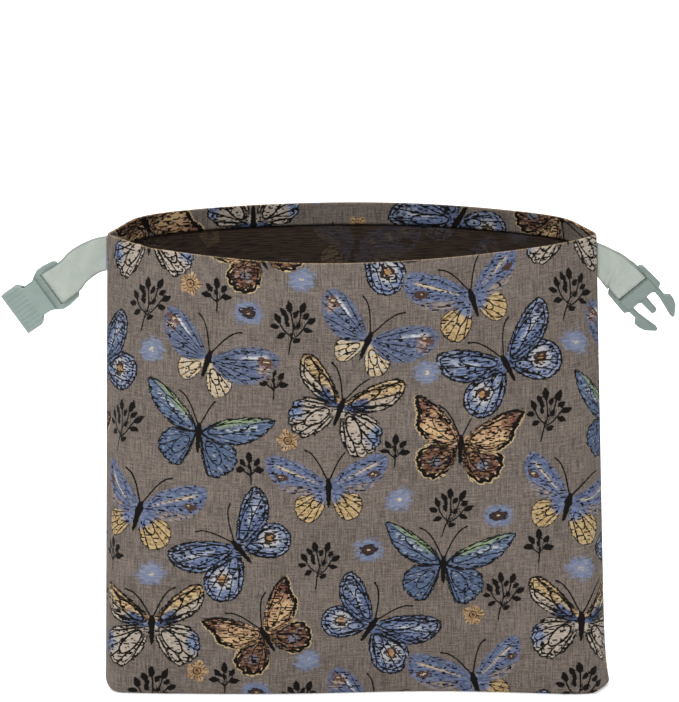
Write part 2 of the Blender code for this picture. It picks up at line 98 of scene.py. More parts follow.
RELIEF_BACK = (
    (205, 120, 0, 160, 90, 3.0), (34, 292, -60, 48, 10, -1.7), (368, 296, 62, 44, 9, -1.5),
    (48, 36, 60, 44, 9, -1.6), (366, 32, -58, 42, 8, -1.4), (140, 200, 80, 110, 26, -1.1),
    (270, 180, 98, 120, 28, 1.0), (20, 200, 80, 70, 4, -0.5), (386, 150, -80, 60, 4, -0.6),
    (26, 18, 28, 16, 4, -0.9), (384, 18, -30, 18, 4, -1.0),
)
RELIEF_CLEAR_OF_SEAM = 14.0 * MM

# At its foot the right side seam stands out as a small ear
EAR_OUT = 4.0 * MM
EAR_HEIGHT = 18.0 * MM
EAR_BREADTH = 16.0 * MM

# The woven design repeats across and down the cloth. Places are on the cloth, from the middle of the panel and up from
# the floor. Drawings are in motif units: MOTIF_UNIT across and down the cloth
REPEAT_ACROSS = (311.0, 4.0)
REPEAT_DOWN = (5.0, -298.0)
REPEATS = range(-3, 4)
MOTIF_UNIT = (0.725, 0.77)
BACK_OFFSET = (-89.0, 2.0)

# Towards the side seams the design lies lower on the cloth, most of all near the rim, and further out: by how much
# each, and from where to where across. The floor's share of the lowering, and the height that adds all of it again
SEAM_SHIFT = (13.0, 5.0, 138.0, 192.0)
SEAM_SHIFT_RISE = (0.35, 520.0)

# Butterflies: place, heading in degrees, then for the left and the right wings how far they are raised in degrees and
# how long they are
BUTTERFLIES = {
    "marbled": ((-11.8, 228.0, 70, (6, 1.0), (9, 1.05)), (-148.8, 53.5, 90, (11, 1.0), (9, 1.03))),
    "hazy": ((-107.5, 260.0, 71, (6, 0.92), (0, 1.06)), (7.4, 278.3, 66, (6, 0.95), (2, 1.03))),
    "pointed": ((-114.5, 204.1, 86, (19, 0.97), (-6, 1.06)), (63.1, 102.0, 90, (17, 0.99), (0, 1.04))),
    "rusty": ((74.7, 195.4, 88, (19, 1.0), (-2, 1.05)), (-66.5, 47.4, 120, (14, 0.96), (14, 0.98))),
    "pale": (
        (-20.5, 165.7, 91, (3, 1.03), (5, 1.0)), (82.3, 306.0, 108, (15, 1.12), (7, 0.95)),
        (-157.7, 143.2, 75, (15, 0.95), (10, 1.08)),
    ),
    "ringed": (
        (-85.8, 117.0, 131, (13, 1.05), (13, 0.95)), (107.8, 254.1, 118, (17, 1.04), (10, 1.03)),
        (11.7, 54.8, 56, (14, 0.9), (14, 1.02)),
    ),
}
# Sprigs and flowers: place, turn in degrees, size
SMALL_MOTIFS = {
    "sprig": (
        (-154.1, 298.8, -6, 1.0), (-46.4, 288.5, 2, 1.0), (-172.6, 208.7, -4, 1.0), (67.1, 143.1, -8, 0.96),
        (-27.8, 104.6, 4, 0.95), (106.5, 76.0, 0, 0.95),
    ),
    "shoot": (
        (-101.4, 309.4, 0, 1.0), (-60.2, 246.0, 0, 1.0), (-77.4, 179.1, 4, 1.0), (27.0, 193.1, -2, 1.0),
        (132.4, 114.3, 0, 1.0),
    ),
    "blue flower": (
        (-150.4, 264.1, 0, 1.0), (-39.9, 325.1, 20, 1.0), (49.8, 251.9, 10, 1.0), (30.7, 154.9, 30, 1.0),
        (-149.2, 93.8, 0, 1.0),
    ),
    "dark-eyed flower": ((-78.0, 297.9, 0, 1.0), (8.4, 116.0, 8, 1.0), (102.8, 139.0, -4, 1.0)),
    "ochre flower": ((-121.2, 315.5, 0, 1.0), (-49.7, 202.0, 30, 0.95), (85.5, 61.2, 12, 0.95)),
}
# How far a drawing reaches from its place, in motif units, and how far off the cloth that place may lie
BUTTERFLY_REACH = 82
SMALL_REACH = 36
MOTIF_MARGIN = 60

# Wing outlines of the right side, from the root along the leading edge and back, in motif units
FORE_WINGS = {
    "marbled": ((1, 3), (15, 17), (32, 29), (48, 35), (56, 31), (55, 19), (47, 8), (34, 1), (17, -3), (3, -2)),
    "hazy": (
        (2, 2), (14, 15), (31, 26), (49, 31), (61, 29), (64, 20), (59, 6), (46, -6), (28, -12), (12, -8), (3, -2),
    ),
    "pointed": (
        (2, 3), (16, 14), (36, 23), (56, 28), (70, 28), (66, 19), (57, 8), (44, -1), (26, -6), (10, -5), (2, -2),
    ),
    "rusty": (
        (2, 3), (14, 16), (30, 26), (47, 32), (61, 32), (59, 23), (53, 14), (51, 4), (40, -5), (24, -9), (8, -5),
    ),
    "pale": (
        (2, 4), (14, 15), (32, 24), (50, 29), (61, 26), (61, 15), (54, 4), (44, -5), (30, -9), (14, -7), (3, -3),
    ),
    "ringed": (
        (2, 2), (14, 13), (32, 22), (50, 27), (64, 25), (66, 16), (60, 4), (47, -6), (30, -9), (14, -8), (3, -3),
    ),
}
HIND_WINGS = {
    "marbled": ((3, 1), (18, 0), (34, -2), (45, -12), (45, -29), (35, -41), (22, -43), (10, -32), (3, -15)),
    "hazy": ((3, 0), (12, -2), (22, -5), (29, -13), (27, -25), (18, -32), (9, -27), (3, -14)),
    "pointed": ((2, 1), (16, 0), (30, -3), (39, -13), (39, -27), (30, -36), (20, -41), (11, -37), (5, -22)),
    "rusty": ((2, 0), (16, -1), (33, -3), (43, -13), (41, -28), (31, -37), (18, -38), (7, -29), (2, -14)),
    "pale": ((3, -2), (14, -4), (27, -7), (33, -17), (29, -30), (18, -35), (8, -28), (3, -15)),
    "ringed": ((3, -2), (16, -4), (30, 0), (44, -5), (52, -18), (48, -32), (36, -39), (23, -37), (12, -27), (4, -14)),
}

# The long cell in the middle of each wing: place, half length, half width and direction in degrees
CELLS = {
    "marbled": ((21, 12, 15, 4.6, 38), (18, -18, 14, 6.0, -54)),
    "hazy": ((27, 10, 19, 5.0, 27), (11, -13, 8, 3.5, -52)),
    "pointed": ((27, 10, 20, 4.6, 22), (16, -17, 12, 5.5, -55)),
    "rusty": ((22, 9, 15, 5.0, 26), (16, -16, 10, 5.0, -50)),
    "pale": ((25, 8, 17, 4.6, 22), (12, -14, 8, 3.6, -54)),
    "ringed": ((26, 9, 19, 5.0, 22), (14, -12, 9, 4.0, -42)),
}

# Patches on the wings: drawing, wing, centre, half sizes, outer colour, depth of the pale core or None for a bare ring
EYES = {
    "hazy": ("fore", 53, 19, 8, 3.4, (92, 66, 54), 2.6),
    "pale": ("fore", 46, 8, 6.5, 3.6, (70, 50, 44), 2.9),
    "ringed": ("hind", 31, -17, 5.4, 5.0, (46, 36, 34), None),
}


def style(edge, outline, vein, dash, haze=0.6, soft=0.0, margin=0.0, dot=0.0):
    return SimpleNamespace(**locals())


# How each butterfly is woven. Colours are 0 to 255. Widths are in motif units. Haze is how far the wing's edge frays,
# soft is how gently it ends, from 0 to 1, and dash is how thick the short dark threads lie, from 0 to 1
STYLES = {
    "marbled": style((12, 10, 9), outline=1.8, vein=0.85, dash=0.62),
    "hazy": style((96, 106, 138), outline=0.0, vein=0.5, dash=0.52, haze=0.9, soft=0.75),
    "pointed": style((12, 12, 14), outline=1.5, vein=0.5, dash=0.5, dot=1.2),
    "rusty": style((190, 166, 126), outline=1.1, vein=0.45, dash=0.7, haze=1.0, margin=5.6, dot=0.8),
    "pale": style((112, 124, 156), outline=0.0, vein=0.3, dash=0.52, haze=0.8, soft=0.7),
    "ringed": style((12, 12, 15), outline=1.7, vein=0.65, dash=0.66),
}
# Threads that the motifs share: dark lines, light floats, and the inner ring and the core of an eye
INK = (12, 9, 8)
GLINT = (194, 190, 184)
EYE_RING = (58, 44, 40)
EYE_CORE = (190, 176, 150)

# Sprigs: stems as lines, then leaves as place of the leaf's middle, direction in degrees and length, in motif units
SPRIGS = {
    "sprig": (
        (
            ((-4, -25), (-2, -13), (1, -2), (-1, 16)), ((-2, -13), (7, -6), (15, 5)),
            ((-1, -9), (-8, -3), (-13, 6)), ((1, -3), (7, 5), (9, 15)),
        ),
        (
            (-2, 20, 98, 12), (-8, 15, 126, 10), (4, 13, 66, 9), (11, 19, 70, 12), (14, 11, 38, 9), (19, 6, 30, 11),
            (15, -3, -12, 10), (-14, 9, 118, 11), (-17, 1, 172, 10), (-11, -8, 208, 10), (-5, 4, 120, 8),
            (6, 2, 60, 8), (4, -13, 24, 9), (-5, 9, 92, 8),
        ),
    ),
    "shoot": (
        (((0.5, -16), (1, -6), (0, 6)), ((1, -7), (5, -3), (8, 1)), ((1, -8), (-4, -4), (-8, 0))),
        (
            (0.5, 11, 92, 12), (-7, 6, 128, 10), (8, 6, 54, 10), (-10, -1, 176, 11), (10, -2, 2, 11), (0, 2, 96, 7),
        ),
    ),
}

BODY = ((0, 10), (2.4, 8), (2.7, 4.5), (3.8, 1), (2.8, -4), (2.4, -10), (1.8, -17), (0, -22))
FEELER = ((1.4, 8.5), (5, 16), (10, 26), (17, 35), (22, 38))
FEELER_TIP = (22.5, 38.2, 30, 4.5)

# How much of a fore wing's raising its hind wing takes on
HIND_RAISED = 0.4

VEIN_SPREAD = math.radians(11.0)
FLOWER_SPREAD = math.radians(22.5)

# Far outside a motif's parts, outside every wing's cell, and deeper than any eye, in motif units
FAR = 20.0
NO_CELL = 9.0
NO_CORE = 99.0
# Stands for wings or an eye that a motif hasn't got
NOTHING = (-FAR, 0.0, 0.0)

# Steps of a curve from one given point to the next
CURVE_STEPS = 24
WING_STEPS = 5
STEM_STEPS = 5
FEELER_STEPS = 6


def smooth_between(rows, at):
    """The second column of a two-column table, eased between its rows."""
    for (low, first), (high, second) in zip(rows, rows[1:]):
        if at <= high:
            share = (at - low) / (high - low)
            return first + (second - first) * share * share * (3 - 2 * share)
    return rows[-1][1]


def curve_through(points, steps=CURVE_STEPS, closed=False):
    """Points of a centripetal Catmull-Rom curve through the given points."""
    points = [np.asarray(p, float) for p in points]
    if closed:
        points = [points[-1], *points, points[0], points[1]]
    else:
        points = [2 * points[0] - points[1], *points, 2 * points[-1] - points[-2]]
    found = []
    for p0, p1, p2, p3 in zip(points, points[1:], points[2:], points[3:]):
        t0 = 0.0
        t1 = t0 + math.sqrt(np.linalg.norm(p1 - p0))
        t2 = t1 + math.sqrt(np.linalg.norm(p2 - p1))
        t3 = t2 + math.sqrt(np.linalg.norm(p3 - p2))
        for step in range(steps):
            t = t1 + (t2 - t1) * step / steps
            a1 = p0 + (p1 - p0) * (t - t0) / (t1 - t0)
            a2 = p1 + (p2 - p1) * (t - t1) / (t2 - t1)
            a3 = p2 + (p3 - p2) * (t - t2) / (t3 - t2)
            b1 = a1 + (a2 - a1) * (t - t0) / (t2 - t0)
            b2 = a2 + (a3 - a2) * (t - t1) / (t3 - t1)
            found.append(b1 + (b2 - b1) * (t - t1) / (t2 - t1))
    if not closed:
        found.append(points[-2])
    return np.array(found)


def running_length(points, axis=0):
    """Length along lines of points, from the first point of each."""
    steps = np.linalg.norm(np.diff(points, axis=axis), axis=-1)
    return np.concatenate([np.zeros_like(steps.take([0], axis)), np.cumsum(steps, axis=axis)], axis=axis)


def along(curve, shares):
    """Points at shares of a curve's length."""
    lengths = running_length(curve)
    at = np.asarray(shares) * lengths[-1]
    return np.stack([np.interp(at, lengths, curve[:, k]) for k in range(curve.shape[1])], axis=1)


class Panel:
    """One wall of the bag with its hem and its half of the bottom, as rows of points on the cloth's right side."""

    def __init__(self, side, rim, floor, corners, rim_height, relief, cell):
        self.side, self.relief, self.cell = side, relief, cell
        floor_curve = curve_through(np.array(floor) * MM)
        lengths = running_length(floor_curve)
        left, right = (lengths[row * CURVE_STEPS] / lengths[-1] for row in corners)
        self.corner = int(round(left * lengths[-1] / cell))
        middle = int(round((right - left) * lengths[-1] / cell))
        ends = ((0.0, left, self.corner), (left, right, middle), (right, 1.0, self.corner))
        runs = [np.linspace(start, end, count + 1)[1:] for start, end, count in ends]
        self.shares = np.concatenate([[0.0], *runs])
        self.rim = along(curve_through(np.array(rim) * MM), self.shares)
        self.floor = along(floor_curve, self.shares)
        self.rim_height = np.array([smooth_between(rim_height, share) * MM for share in self.shares])
        for outline in (self.rim, self.floor):
            outline[[0, -1], 1] += side * SEAM_GAP / 2

    def inward(self, outline):
        """Unit vectors in plan that point into the bag. At the seams they point along X."""
        run = np.gradient(outline, axis=0)
        run[0] = run[-1] = (0.0, 1.0)
        normal = np.stack([-run[:, 1], run[:, 0]], axis=1)
        normal /= np.linalg.norm(normal, axis=1)[:, None]
        to_middle = outline.mean(axis=0) * (1.0, 0.0) - outline
        normal[np.sum(normal * to_middle, axis=1) < 0] *= -1
        return normal

    def proud(self, across, height):
        """How far the cloth stands out at places on it, from the ridges and troughs."""
        rise_of = np.zeros_like(across)
        for centre, above, angle, half_length, half_width, rise in self.relief:
            place = turned(np.column_stack([across / MM - centre, height / MM - above]), angle)
            rise_of += rise * MM * np.exp(-np.sum((place / (half_length, half_width)) ** 2, axis=1))
        from_seam = np.minimum(across, across[-1] - across)
        return rise_of * np.minimum(1.0, from_seam / RELIEF_CLEAR_OF_SEAM) ** 2

    def outline_at(self, share):
        """The wall's plan at a share of its height."""
        plan = self.floor * (1 - share) + self.rim * share
        across = running_length(plan)
        height = share * self.rim_height
        plan = plan - self.inward(plan) * self.proud(across, height)[:, None]
        to_ear = np.exp(-(((across[-1] - across) / EAR_BREADTH) ** 2))
        plan[:, 0] += EAR_OUT * to_ear * np.exp(-height / EAR_HEIGHT)
        return plan

    def row(self, share, inset=0.0, drop=0.0):
        plan = self.outline_at(share)
        plan = plan + self.inward(plan) * inset
        return np.column_stack([plan, share * self.rim_height - drop])

    def wall(self):
        """Rows from the hem's lower edge inside the bag, over the rim and down to the floor."""
        top = self.rim_height.mean()
        turn = HEM_INSET / 2
        depths = np.linspace(HEM_DEPTH, turn, int(HEM_DEPTH / self.cell))
        rows = [self.row(1 - depth / top, HEM_INSET) for depth in depths]
        for angle in np.radians((30, 60, 90, 120, 150)):
            rows.append(self.row(1 - turn / top, turn + turn * math.cos(angle), -turn * math.sin(angle)))
        heights = np.linspace(top - turn, BOTTOM_FOLD_RADIUS, int(top / self.cell))
        rows += [self.row(height / top) for height in heights]
        for angle in np.radians((22.5, 45, 67.5, 90)):
            row = self.row(BOTTOM_FOLD_RADIUS / top, BOTTOM_FOLD_RADIUS * (1 - math.cos(angle)))
            row[:, 2] = BOTTOM_FOLD_RADIUS * (1 - math.sin(angle))
            rows.append(row)
        return np.array(rows)

    def floor_rows(self, ring):
        """Rows on the floor from the row after the bottom fold to the seam under the bag."""
        front = ring[self.corner : len(ring) - self.corner]
        spread = ((front[:, 0] - front[0, 0]) / (front[-1, 0] - front[0, 0]))[:, None]
        bend = front - (front[0] + (front[-1] - front[0]) * spread)
        rows = []
        for step in range(1, self.corner + 1):
            left = ring[self.corner - step]
            right = ring[len(ring) - 1 - self.corner + step]
            rows.append(left + (right - left) * spread + bend * (1 - step / self.corner))
        return np.array(rows)


def cloth_places(rows, start_height):
    """Places on the cloth of a grid of points, in millimetres: from the middle column, and up from the floor."""
    across = running_length(rows, axis=1)
    across -= across[:, [rows.shape[1] // 2]]
    return np.stack([across, start_height - running_length(rows)], axis=2) / MM


def turned(points, degrees):
    """Points in plan, seen from a frame that is turned by an angle."""
    turn = math.radians(degrees)
    x = points[:, 0] * math.cos(turn) + points[:, 1] * math.sin(turn)
    y = points[:, 1] * math.cos(turn) - points[:, 0] * math.sin(turn)
    return np.column_stack([x, y])


def polar(p):
    """How far points lie from the origin, and their direction in radians."""
    return np.hypot(p[:, 0], p[:, 1]), np.arctan2(p[:, 1], p[:, 0])


def signed_distance(points, outline):
    """Distance of points from a closed outline, positive inside."""
    start = outline
    end = np.roll(outline, -1, axis=0)
    run = end - start
    from_start = points[:, None] - start[None]
    share = np.clip((from_start * run).sum(2) / np.maximum((run * run).sum(1), 1e-9), 0, 1)
    nearest = np.linalg.norm(from_start - share[..., None] * run, axis=2).min(1)
    y = points[:, 1][:, None]
    x = points[:, 0][:, None]
    spans = (start[:, 1] > y) != (end[:, 1] > y)
    rise = np.where(np.abs(run[:, 1]) < 1e-9, 1e-9, run[:, 1])
    crosses = spans & (x < start[:, 0] + (y - start[:, 1]) * run[:, 0] / rise)
    return np.where(crosses.sum(1) % 2 == 1, nearest, -nearest)


def line_distance(points, line):
    """Distance of points from an open line: with a sign for the side, and without."""
    start = line[:-1]
    run = line[1:] - start
    from_start = points[:, None] - start[None]
    share = np.clip((from_start * run).sum(2) / (run * run).sum(1), 0, 1)
    off = from_start - share[..., None] * run
    away = np.linalg.norm(off, axis=2)
    nearest = away.argmin(1)
    pick = np.arange(len(points))
    side = run[nearest, 0] * off[pick, nearest, 1] - run[nearest, 1] * off[pick, nearest, 0]
    bare = away[pick, nearest]
    return np.where(side < 0, -bare, bare), bare


def nearest_line(distances):
    """The nearest of some open lines, from the distances of points from each."""
    signed, bare = distances[0]
    for line, near in distances[1:]:
        signed = np.where(near < bare, line, signed)
        bare = np.minimum(near, bare)
    return signed, bare


def leaf(x, y, direction, length):
    """A pointed leaf's outline round its middle."""
    half = length / 2
    broad = length * 0.27
    shape = [(-half, 0), (-half * 0.5, broad * 0.8), (half * 0.1, broad), (half * 0.6, broad * 0.6), (half * 1.1, 0)]
    shape += [(a, -b) for a, b in reversed(shape[1:-1])]
    return turned(np.array(shape), -direction) + (x, y)


def oval_distance(points, x, y, half_length, half_width, direction):
    """Distance of points from a long oval, positive outside."""
    p = turned(points - (x, y), direction)
    ratio = np.hypot(p[:, 0] / half_length, p[:, 1] / half_width)
    slope = np.hypot(p[:, 0] / half_length**2, p[:, 1] / half_width**2)
    return (ratio - 1) * ratio / np.maximum(slope, 0.02)


def colour(rgb):
    """A colour from 0 to 255 as the shader needs it."""
    share = np.asarray(rgb, float) / 255
    return np.where(share <= 0.04045, share / 12.92, ((share + 0.055) / 1.055) ** 2.4)


def paint(points, *layers):
    """Colours at points. Each layer is a colour and its strength at each point, from 0 to 1."""
    found = np.zeros((len(points), 3))
    for rgb, strength in layers:
        strength = np.clip(np.broadcast_to(strength, len(points)), 0, 1)[:, None]
        found = found * (1 - strength) + colour(rgb) * strength
    return found


def layered(p, *rows):
    """Ground colour and streak colour at points. Each row is a layer's strength and its colour in each."""
    return [paint(p, *((row[side], row[0]) for row in rows)) for side in (1, 2)]


def ease(value, low, high):
    """0 at low, 1 at high, eased between. low may be above high."""
    share = np.clip((value - low) / (high - low), 0, 1)
    return share * share * (3 - 2 * share)


def plateau(value, low, high, fall, end):
    """0 up to low, 1 from high to fall, and 0 from end."""
    return ease(value, low, high) * ease(value, end, fall)


def band(value, centre, half):
    return np.clip(1 - np.abs((value - centre) / half), 0, 1) ** 0.6


def fore_colours(kind, p):
    """Ground colour and streak colour of the fore wing, at points on its right side."""
    reach, angle = polar(p)
    angle = np.degrees(angle)
    if kind == "marbled":
        root = ease(reach, 30, 22) * ease(angle, 34, 28)
        rows = (ease(angle, 16, 28), (186, 162, 120), (120, 94, 66)), (root, (84, 98, 130), (58, 68, 96))
        return layered(p, (1, (176, 164, 149), (146, 134, 122)), *rows)
    if kind == "hazy":
        light = plateau(angle, 22, 24, 25, 28) * plateau(reach, 28, 36, 52, 60)
        tip = plateau(reach, 45, 51, 57, 61) * plateau(angle, 4, 10, 23, 27)
        rows = (tip * 0.7, (112, 88, 80), (186, 162, 134)), (light, (206, 204, 202), (150, 156, 170))
        return layered(p, (1, (82, 91, 117), (100, 109, 132)), *rows)
    if kind == "pointed":
        green = ease(angle, 21, 26) * ease(reach, 12, 24)
        dash = plateau(angle, 14, 17, 18, 22) * plateau(reach, 20, 30, 54, 62)
        rows = (dash, (44, 52, 72), (172, 178, 182)), (green, (116, 132, 102), (136, 150, 118))
        return layered(p, (1, (75, 89, 116), (97, 111, 136)), *rows)
    if kind == "rusty":
        low = band(angle, 6, 12) * ease(reach, 56, 40)
        tip = ease(reach, 40, 54)
        ground = paint(p, ((184, 150, 112), 1), ((200, 168, 126), low), ((124, 84, 68), tip))
        streak = paint(p, ((128, 94, 74), 1), ((190, 160, 120), band(angle, 8, 14) * (1 - tip)), ((96, 62, 52), tip))
        return ground, streak
    if kind == "pale":
        line = plateau(angle, 18, 20, 21, 23) * plateau(reach, 8, 14, 48, 58)
        low = ease(angle, 4, -2) * ease(reach, 14, 22)
        rows = (low * 0.6, (168, 146, 116), (84, 74, 76)), (line, (188, 170, 140), (200, 182, 150))
        return layered(p, (1, (82, 92, 120), (106, 116, 144)), *rows)
    light = plateau(angle, 8, 12, 14, 20) * plateau(reach, 22, 32, 46, 56)
    rows = (ease(reach, 40, 56), (124, 134, 158), (50, 52, 66)), (light, (176, 180, 188), (124, 134, 158))
    return layered(p, (1, (100, 114, 146), (78, 90, 120)), *rows)


def hind_colours(kind, p):
    """Ground colour and streak colour of the hind wing, at points on its right side."""
    reach, angle = polar(p)
    down = -np.degrees(angle)
    if kind == "marbled":
        tips = ease(reach, 34, 41) * plateau(down, 8, 16, 32, 42)
        return layered(p, (1, (174, 162, 149), (156, 144, 132)), (tips, (90, 106, 138), (134, 146, 172)))
    if kind == "hazy":
        ground = paint(p, ((196, 173, 134), 1), ((170, 144, 110), ease(reach, 30, 38)))
        return ground, paint(p, ((180, 170, 156), 1), ((110, 86, 64), ease(reach, 32, 38)))
    if kind == "pointed":
        green = ease(down, 70, 80)
        return layered(p, (1, (84, 98, 123), (69, 83, 110)), (green, (118, 134, 102), (150, 160, 118)))
    if kind == "rusty":
        spot = ease(np.hypot(p[:, 0] - 22, p[:, 1] + 20), 7, 3)
        ground = paint(p, ((116, 82, 62), 1), ((142, 108, 78), ease(reach, 24, 12)), ((104, 108, 128), spot))
        return ground, paint(p, ((66, 45, 38), 1), ((128, 118, 114), spot * 0.8))
    if kind == "pale":
        root = ease(reach, 20, 14)
        return layered(p, (1, (184, 160, 116), (158, 132, 92)), (root, (92, 104, 138), (116, 126, 152)))
    _, x, y, *_ = EYES[kind]
    from_eye = np.hypot(p[:, 0] - x, p[:, 1] - y)
    rows = (
        (ease(from_eye, 13, 8), (164, 164, 168), (178, 176, 176)),
        (ease(reach, 18, 10), (88, 102, 136), (72, 84, 112)),
        (ease(from_eye, 5, 3.8), (146, 108, 72), (170, 132, 90)),
    )
    return layered(p, (1, (94, 108, 140), (140, 146, 164)), *rows)


class Fields:
    """What the weave needs to know at each point of the cloth."""

    VECTORS = ("fore", "hind", "ink", "eye", "style", "detail", "cells")
    COLOURS = ("fore_ground", "fore_streak", "hind_ground", "hind_streak", "edge", "eye_tone")

    def __init__(self, count):
        self.best = np.full(count, -1e9)
        self.values = {name: np.zeros((count, 3)) for name in self.VECTORS + self.COLOURS}
        for name in ("fore", "hind", "ink", "eye"):
            self.values[name][:, 0] = -FAR
        self.values["ink"][:, 1:] = FAR

    def put(self, index, nearness, **found):
        """Stores a motif's values where it is the nearest so far."""
        wins = nearness > self.best[index]
        index = index[wins]
        self.best[index] = nearness[wins]
        for name, value in found.items():
            if isinstance(value, tuple):
                value = np.column_stack([np.broadcast_to(part, len(wins)) for part in value])
            self.values[name][index] = np.broadcast_to(value, (len(wins), 3))[wins]


def wing_field(points, outline, raised, length, share):
    """One pair of wings: distance inside the outline, place among the veins, and reach from the root; and where on the
    right wing each point lies."""
    best = None
    for side, turn, scale in zip((-1, 1), raised, length):
        p = turned(points * (side, 1), turn * share) / scale
        reach, angle = polar(p)
        field = np.column_stack([signed_distance(p, outline), angle / VEIN_SPREAD, reach])
        if best is None:
            best, places = field, p
        else:
            wins = (field[:, 0] > best[:, 0])[:, None]
            best, places = np.where(wins, field, best), np.where(wins, p, places)
    return best, places


def draw_butterfly(fields, index, p, kind, left, right):
    raised, length = zip(left, right)
    fore, fore_at = wing_field(p, curve_through(FORE_WINGS[kind], WING_STEPS, closed=True), raised, length, 1.0)
    hind, hind_at = wing_field(p, curve_through(HIND_WINGS[kind], WING_STEPS, closed=True), raised, length, HIND_RAISED)
    if kind in ("marbled", "pointed", "rusty"):
        hind[:, 0] -= 1.5 * np.abs(np.cos(math.pi * hind[:, 1])) ** 3 * ease(hind[:, 2], 24, 34)
    half = np.array(BODY, float)
    ink = signed_distance(p, np.concatenate([half, half[1:-1][::-1] * (-1, 1)]))
    mirrored = [p * (side, 1) for side in (-1, 1)]
    ink = np.maximum.reduce([ink] + [signed_distance(q, leaf(*FEELER_TIP)) for q in mirrored])
    signed, bare = nearest_line([line_distance(q, curve_through(FEELER, FEELER_STEPS)) for q in mirrored])
    eye, tone, core = -FAR, (80, 60, 50), NO_CORE
    if kind in EYES:
        wing, x, y, wide, high, tone, core = EYES[kind]
        at = fore_at if wing == "fore" else hind_at
        eye = (1 - np.hypot((at[:, 0] - x) / wide, (at[:, 1] - y) / high)) * high
        if core is None:
            eye, core = 1.3 - np.abs(eye), NO_CORE
    look = STYLES[kind]
    edge, margin = colour(look.edge), look.margin
    if kind == "rusty":
        on_fore = fore[:, 0] > hind[:, 0]
        lead = ease(np.degrees(polar(fore_at)[1]), 24, 31) * on_fore
        outer = ease(np.where(on_fore, fore[:, 2], hind[:, 2] + 8), 28, 42)
        edge = paint(p, (INK, 1), (look.edge, outer * (1 - lead)))
        margin = margin * np.maximum(outer, 0.15) * (1 - 0.45 * lead)
    outline, vein, soft, haze = look.outline, look.vein, look.soft, look.haze
    fore_cell = oval_distance(fore_at, *CELLS[kind][0])
    if kind in ("hazy", "pale"):
        on_hind = (hind[:, 0] > fore[:, 0]) & (hind[:, 2] > 16)
        edge = np.where(on_hind[:, None], colour(INK), edge)
        outline, vein = np.where(on_hind, 1.0, outline), np.where(on_hind, 0.6, vein)
        soft, haze = np.where(on_hind, 0.0, soft), np.where(on_hind, 0.5, haze)
        fore_cell = NO_CELL
    fore_ground, fore_streak = fore_colours(kind, fore_at)
    hind_ground, hind_streak = hind_colours(kind, hind_at)
    fields.put(
        index,
        np.maximum.reduce([fore[:, 0], hind[:, 0], ink, 0.4 - bare]),
        fore=fore,
        hind=hind,
        ink=(ink, signed, bare),
        eye=(eye, core, VEIN_SPREAD),
        style=(outline, vein, haze),
        detail=(look.dot, margin, soft),
        cells=(fore_cell, oval_distance(hind_at, *CELLS[kind][1]), look.dash),
        fore_ground=fore_ground,
        fore_streak=fore_streak,
        hind_ground=hind_ground,
        hind_streak=hind_streak,
        edge=edge,
        eye_tone=colour(tone),
    )


def draw_sprig(fields, index, p, kind):
    stems, leaves = SPRIGS[kind]
    ink = np.maximum.reduce([signed_distance(p, leaf(*row)) for row in leaves]) + 0.3
    signed, bare = nearest_line([line_distance(p, curve_through(stem, STEM_STEPS)) for stem in stems])
    fields.put(
        index,
        np.maximum(ink, 0.5 - bare),
        fore=NOTHING,
        hind=NOTHING,
        eye=NOTHING,
        ink=(ink, signed, bare),
        style=(0, 0, 0.2),
        detail=(0, 0, 0),
        cells=(NO_CELL, NO_CELL, 0),
    )


def draw_flower(fields, index, p, kind):
    reach, angle = polar(p)
    core, haze, soft, vein, dash = NO_CORE, 4.6, 1.0, 0.0, 0.0
    if kind == "blue flower":
        inside = 11.5 + 0.8 * np.cos(8 * angle) - np.hypot(p[:, 0] / 1.15, p[:, 1])
        ground = paint(p, ((102, 110, 136), 1), ((116, 123, 146), ease(reach, 8, 4)))
        streak, tone = (124, 130, 148), (184, 172, 146)
        eye = 1.9 - reach
    elif kind == "dark-eyed flower":
        inside = 12.5 - (np.abs(p[:, 0] / 1.08) ** 3 + np.abs(p[:, 1] * 1.15) ** 3) ** (1 / 3)
        ground, streak, tone = colour((100, 110, 138)), (118, 127, 150), (40, 32, 30)
        eye = (1 - np.hypot(p[:, 0] / 9.0, p[:, 1] / 5.6)) * 5.6
        core, haze = 4.6, 5.0
    else:
        inside = 10.6 + 1.5 * np.cos(5 * angle) - reach
        ground, streak, tone = colour((172, 144, 108)), (136, 107, 75), (124, 90, 62)
        eye = 3.0 - reach
        haze, soft, vein, dash = 0.5, 0.0, 0.4, 0.3
    fields.put(
        index,
        inside,
        fore=(inside, angle / FLOWER_SPREAD, reach),
        hind=NOTHING,
        ink=(-FAR, FAR, FAR),
        eye=(eye, core, FLOWER_SPREAD),
        style=(0, vein, haze),
        detail=(0, 0, soft),
        cells=(reach - 4.0, NO_CELL, dash),
        fore_ground=ground,
        fore_streak=colour(streak),
        edge=colour((150, 108, 70)),
        eye_tone=colour(tone),
    )


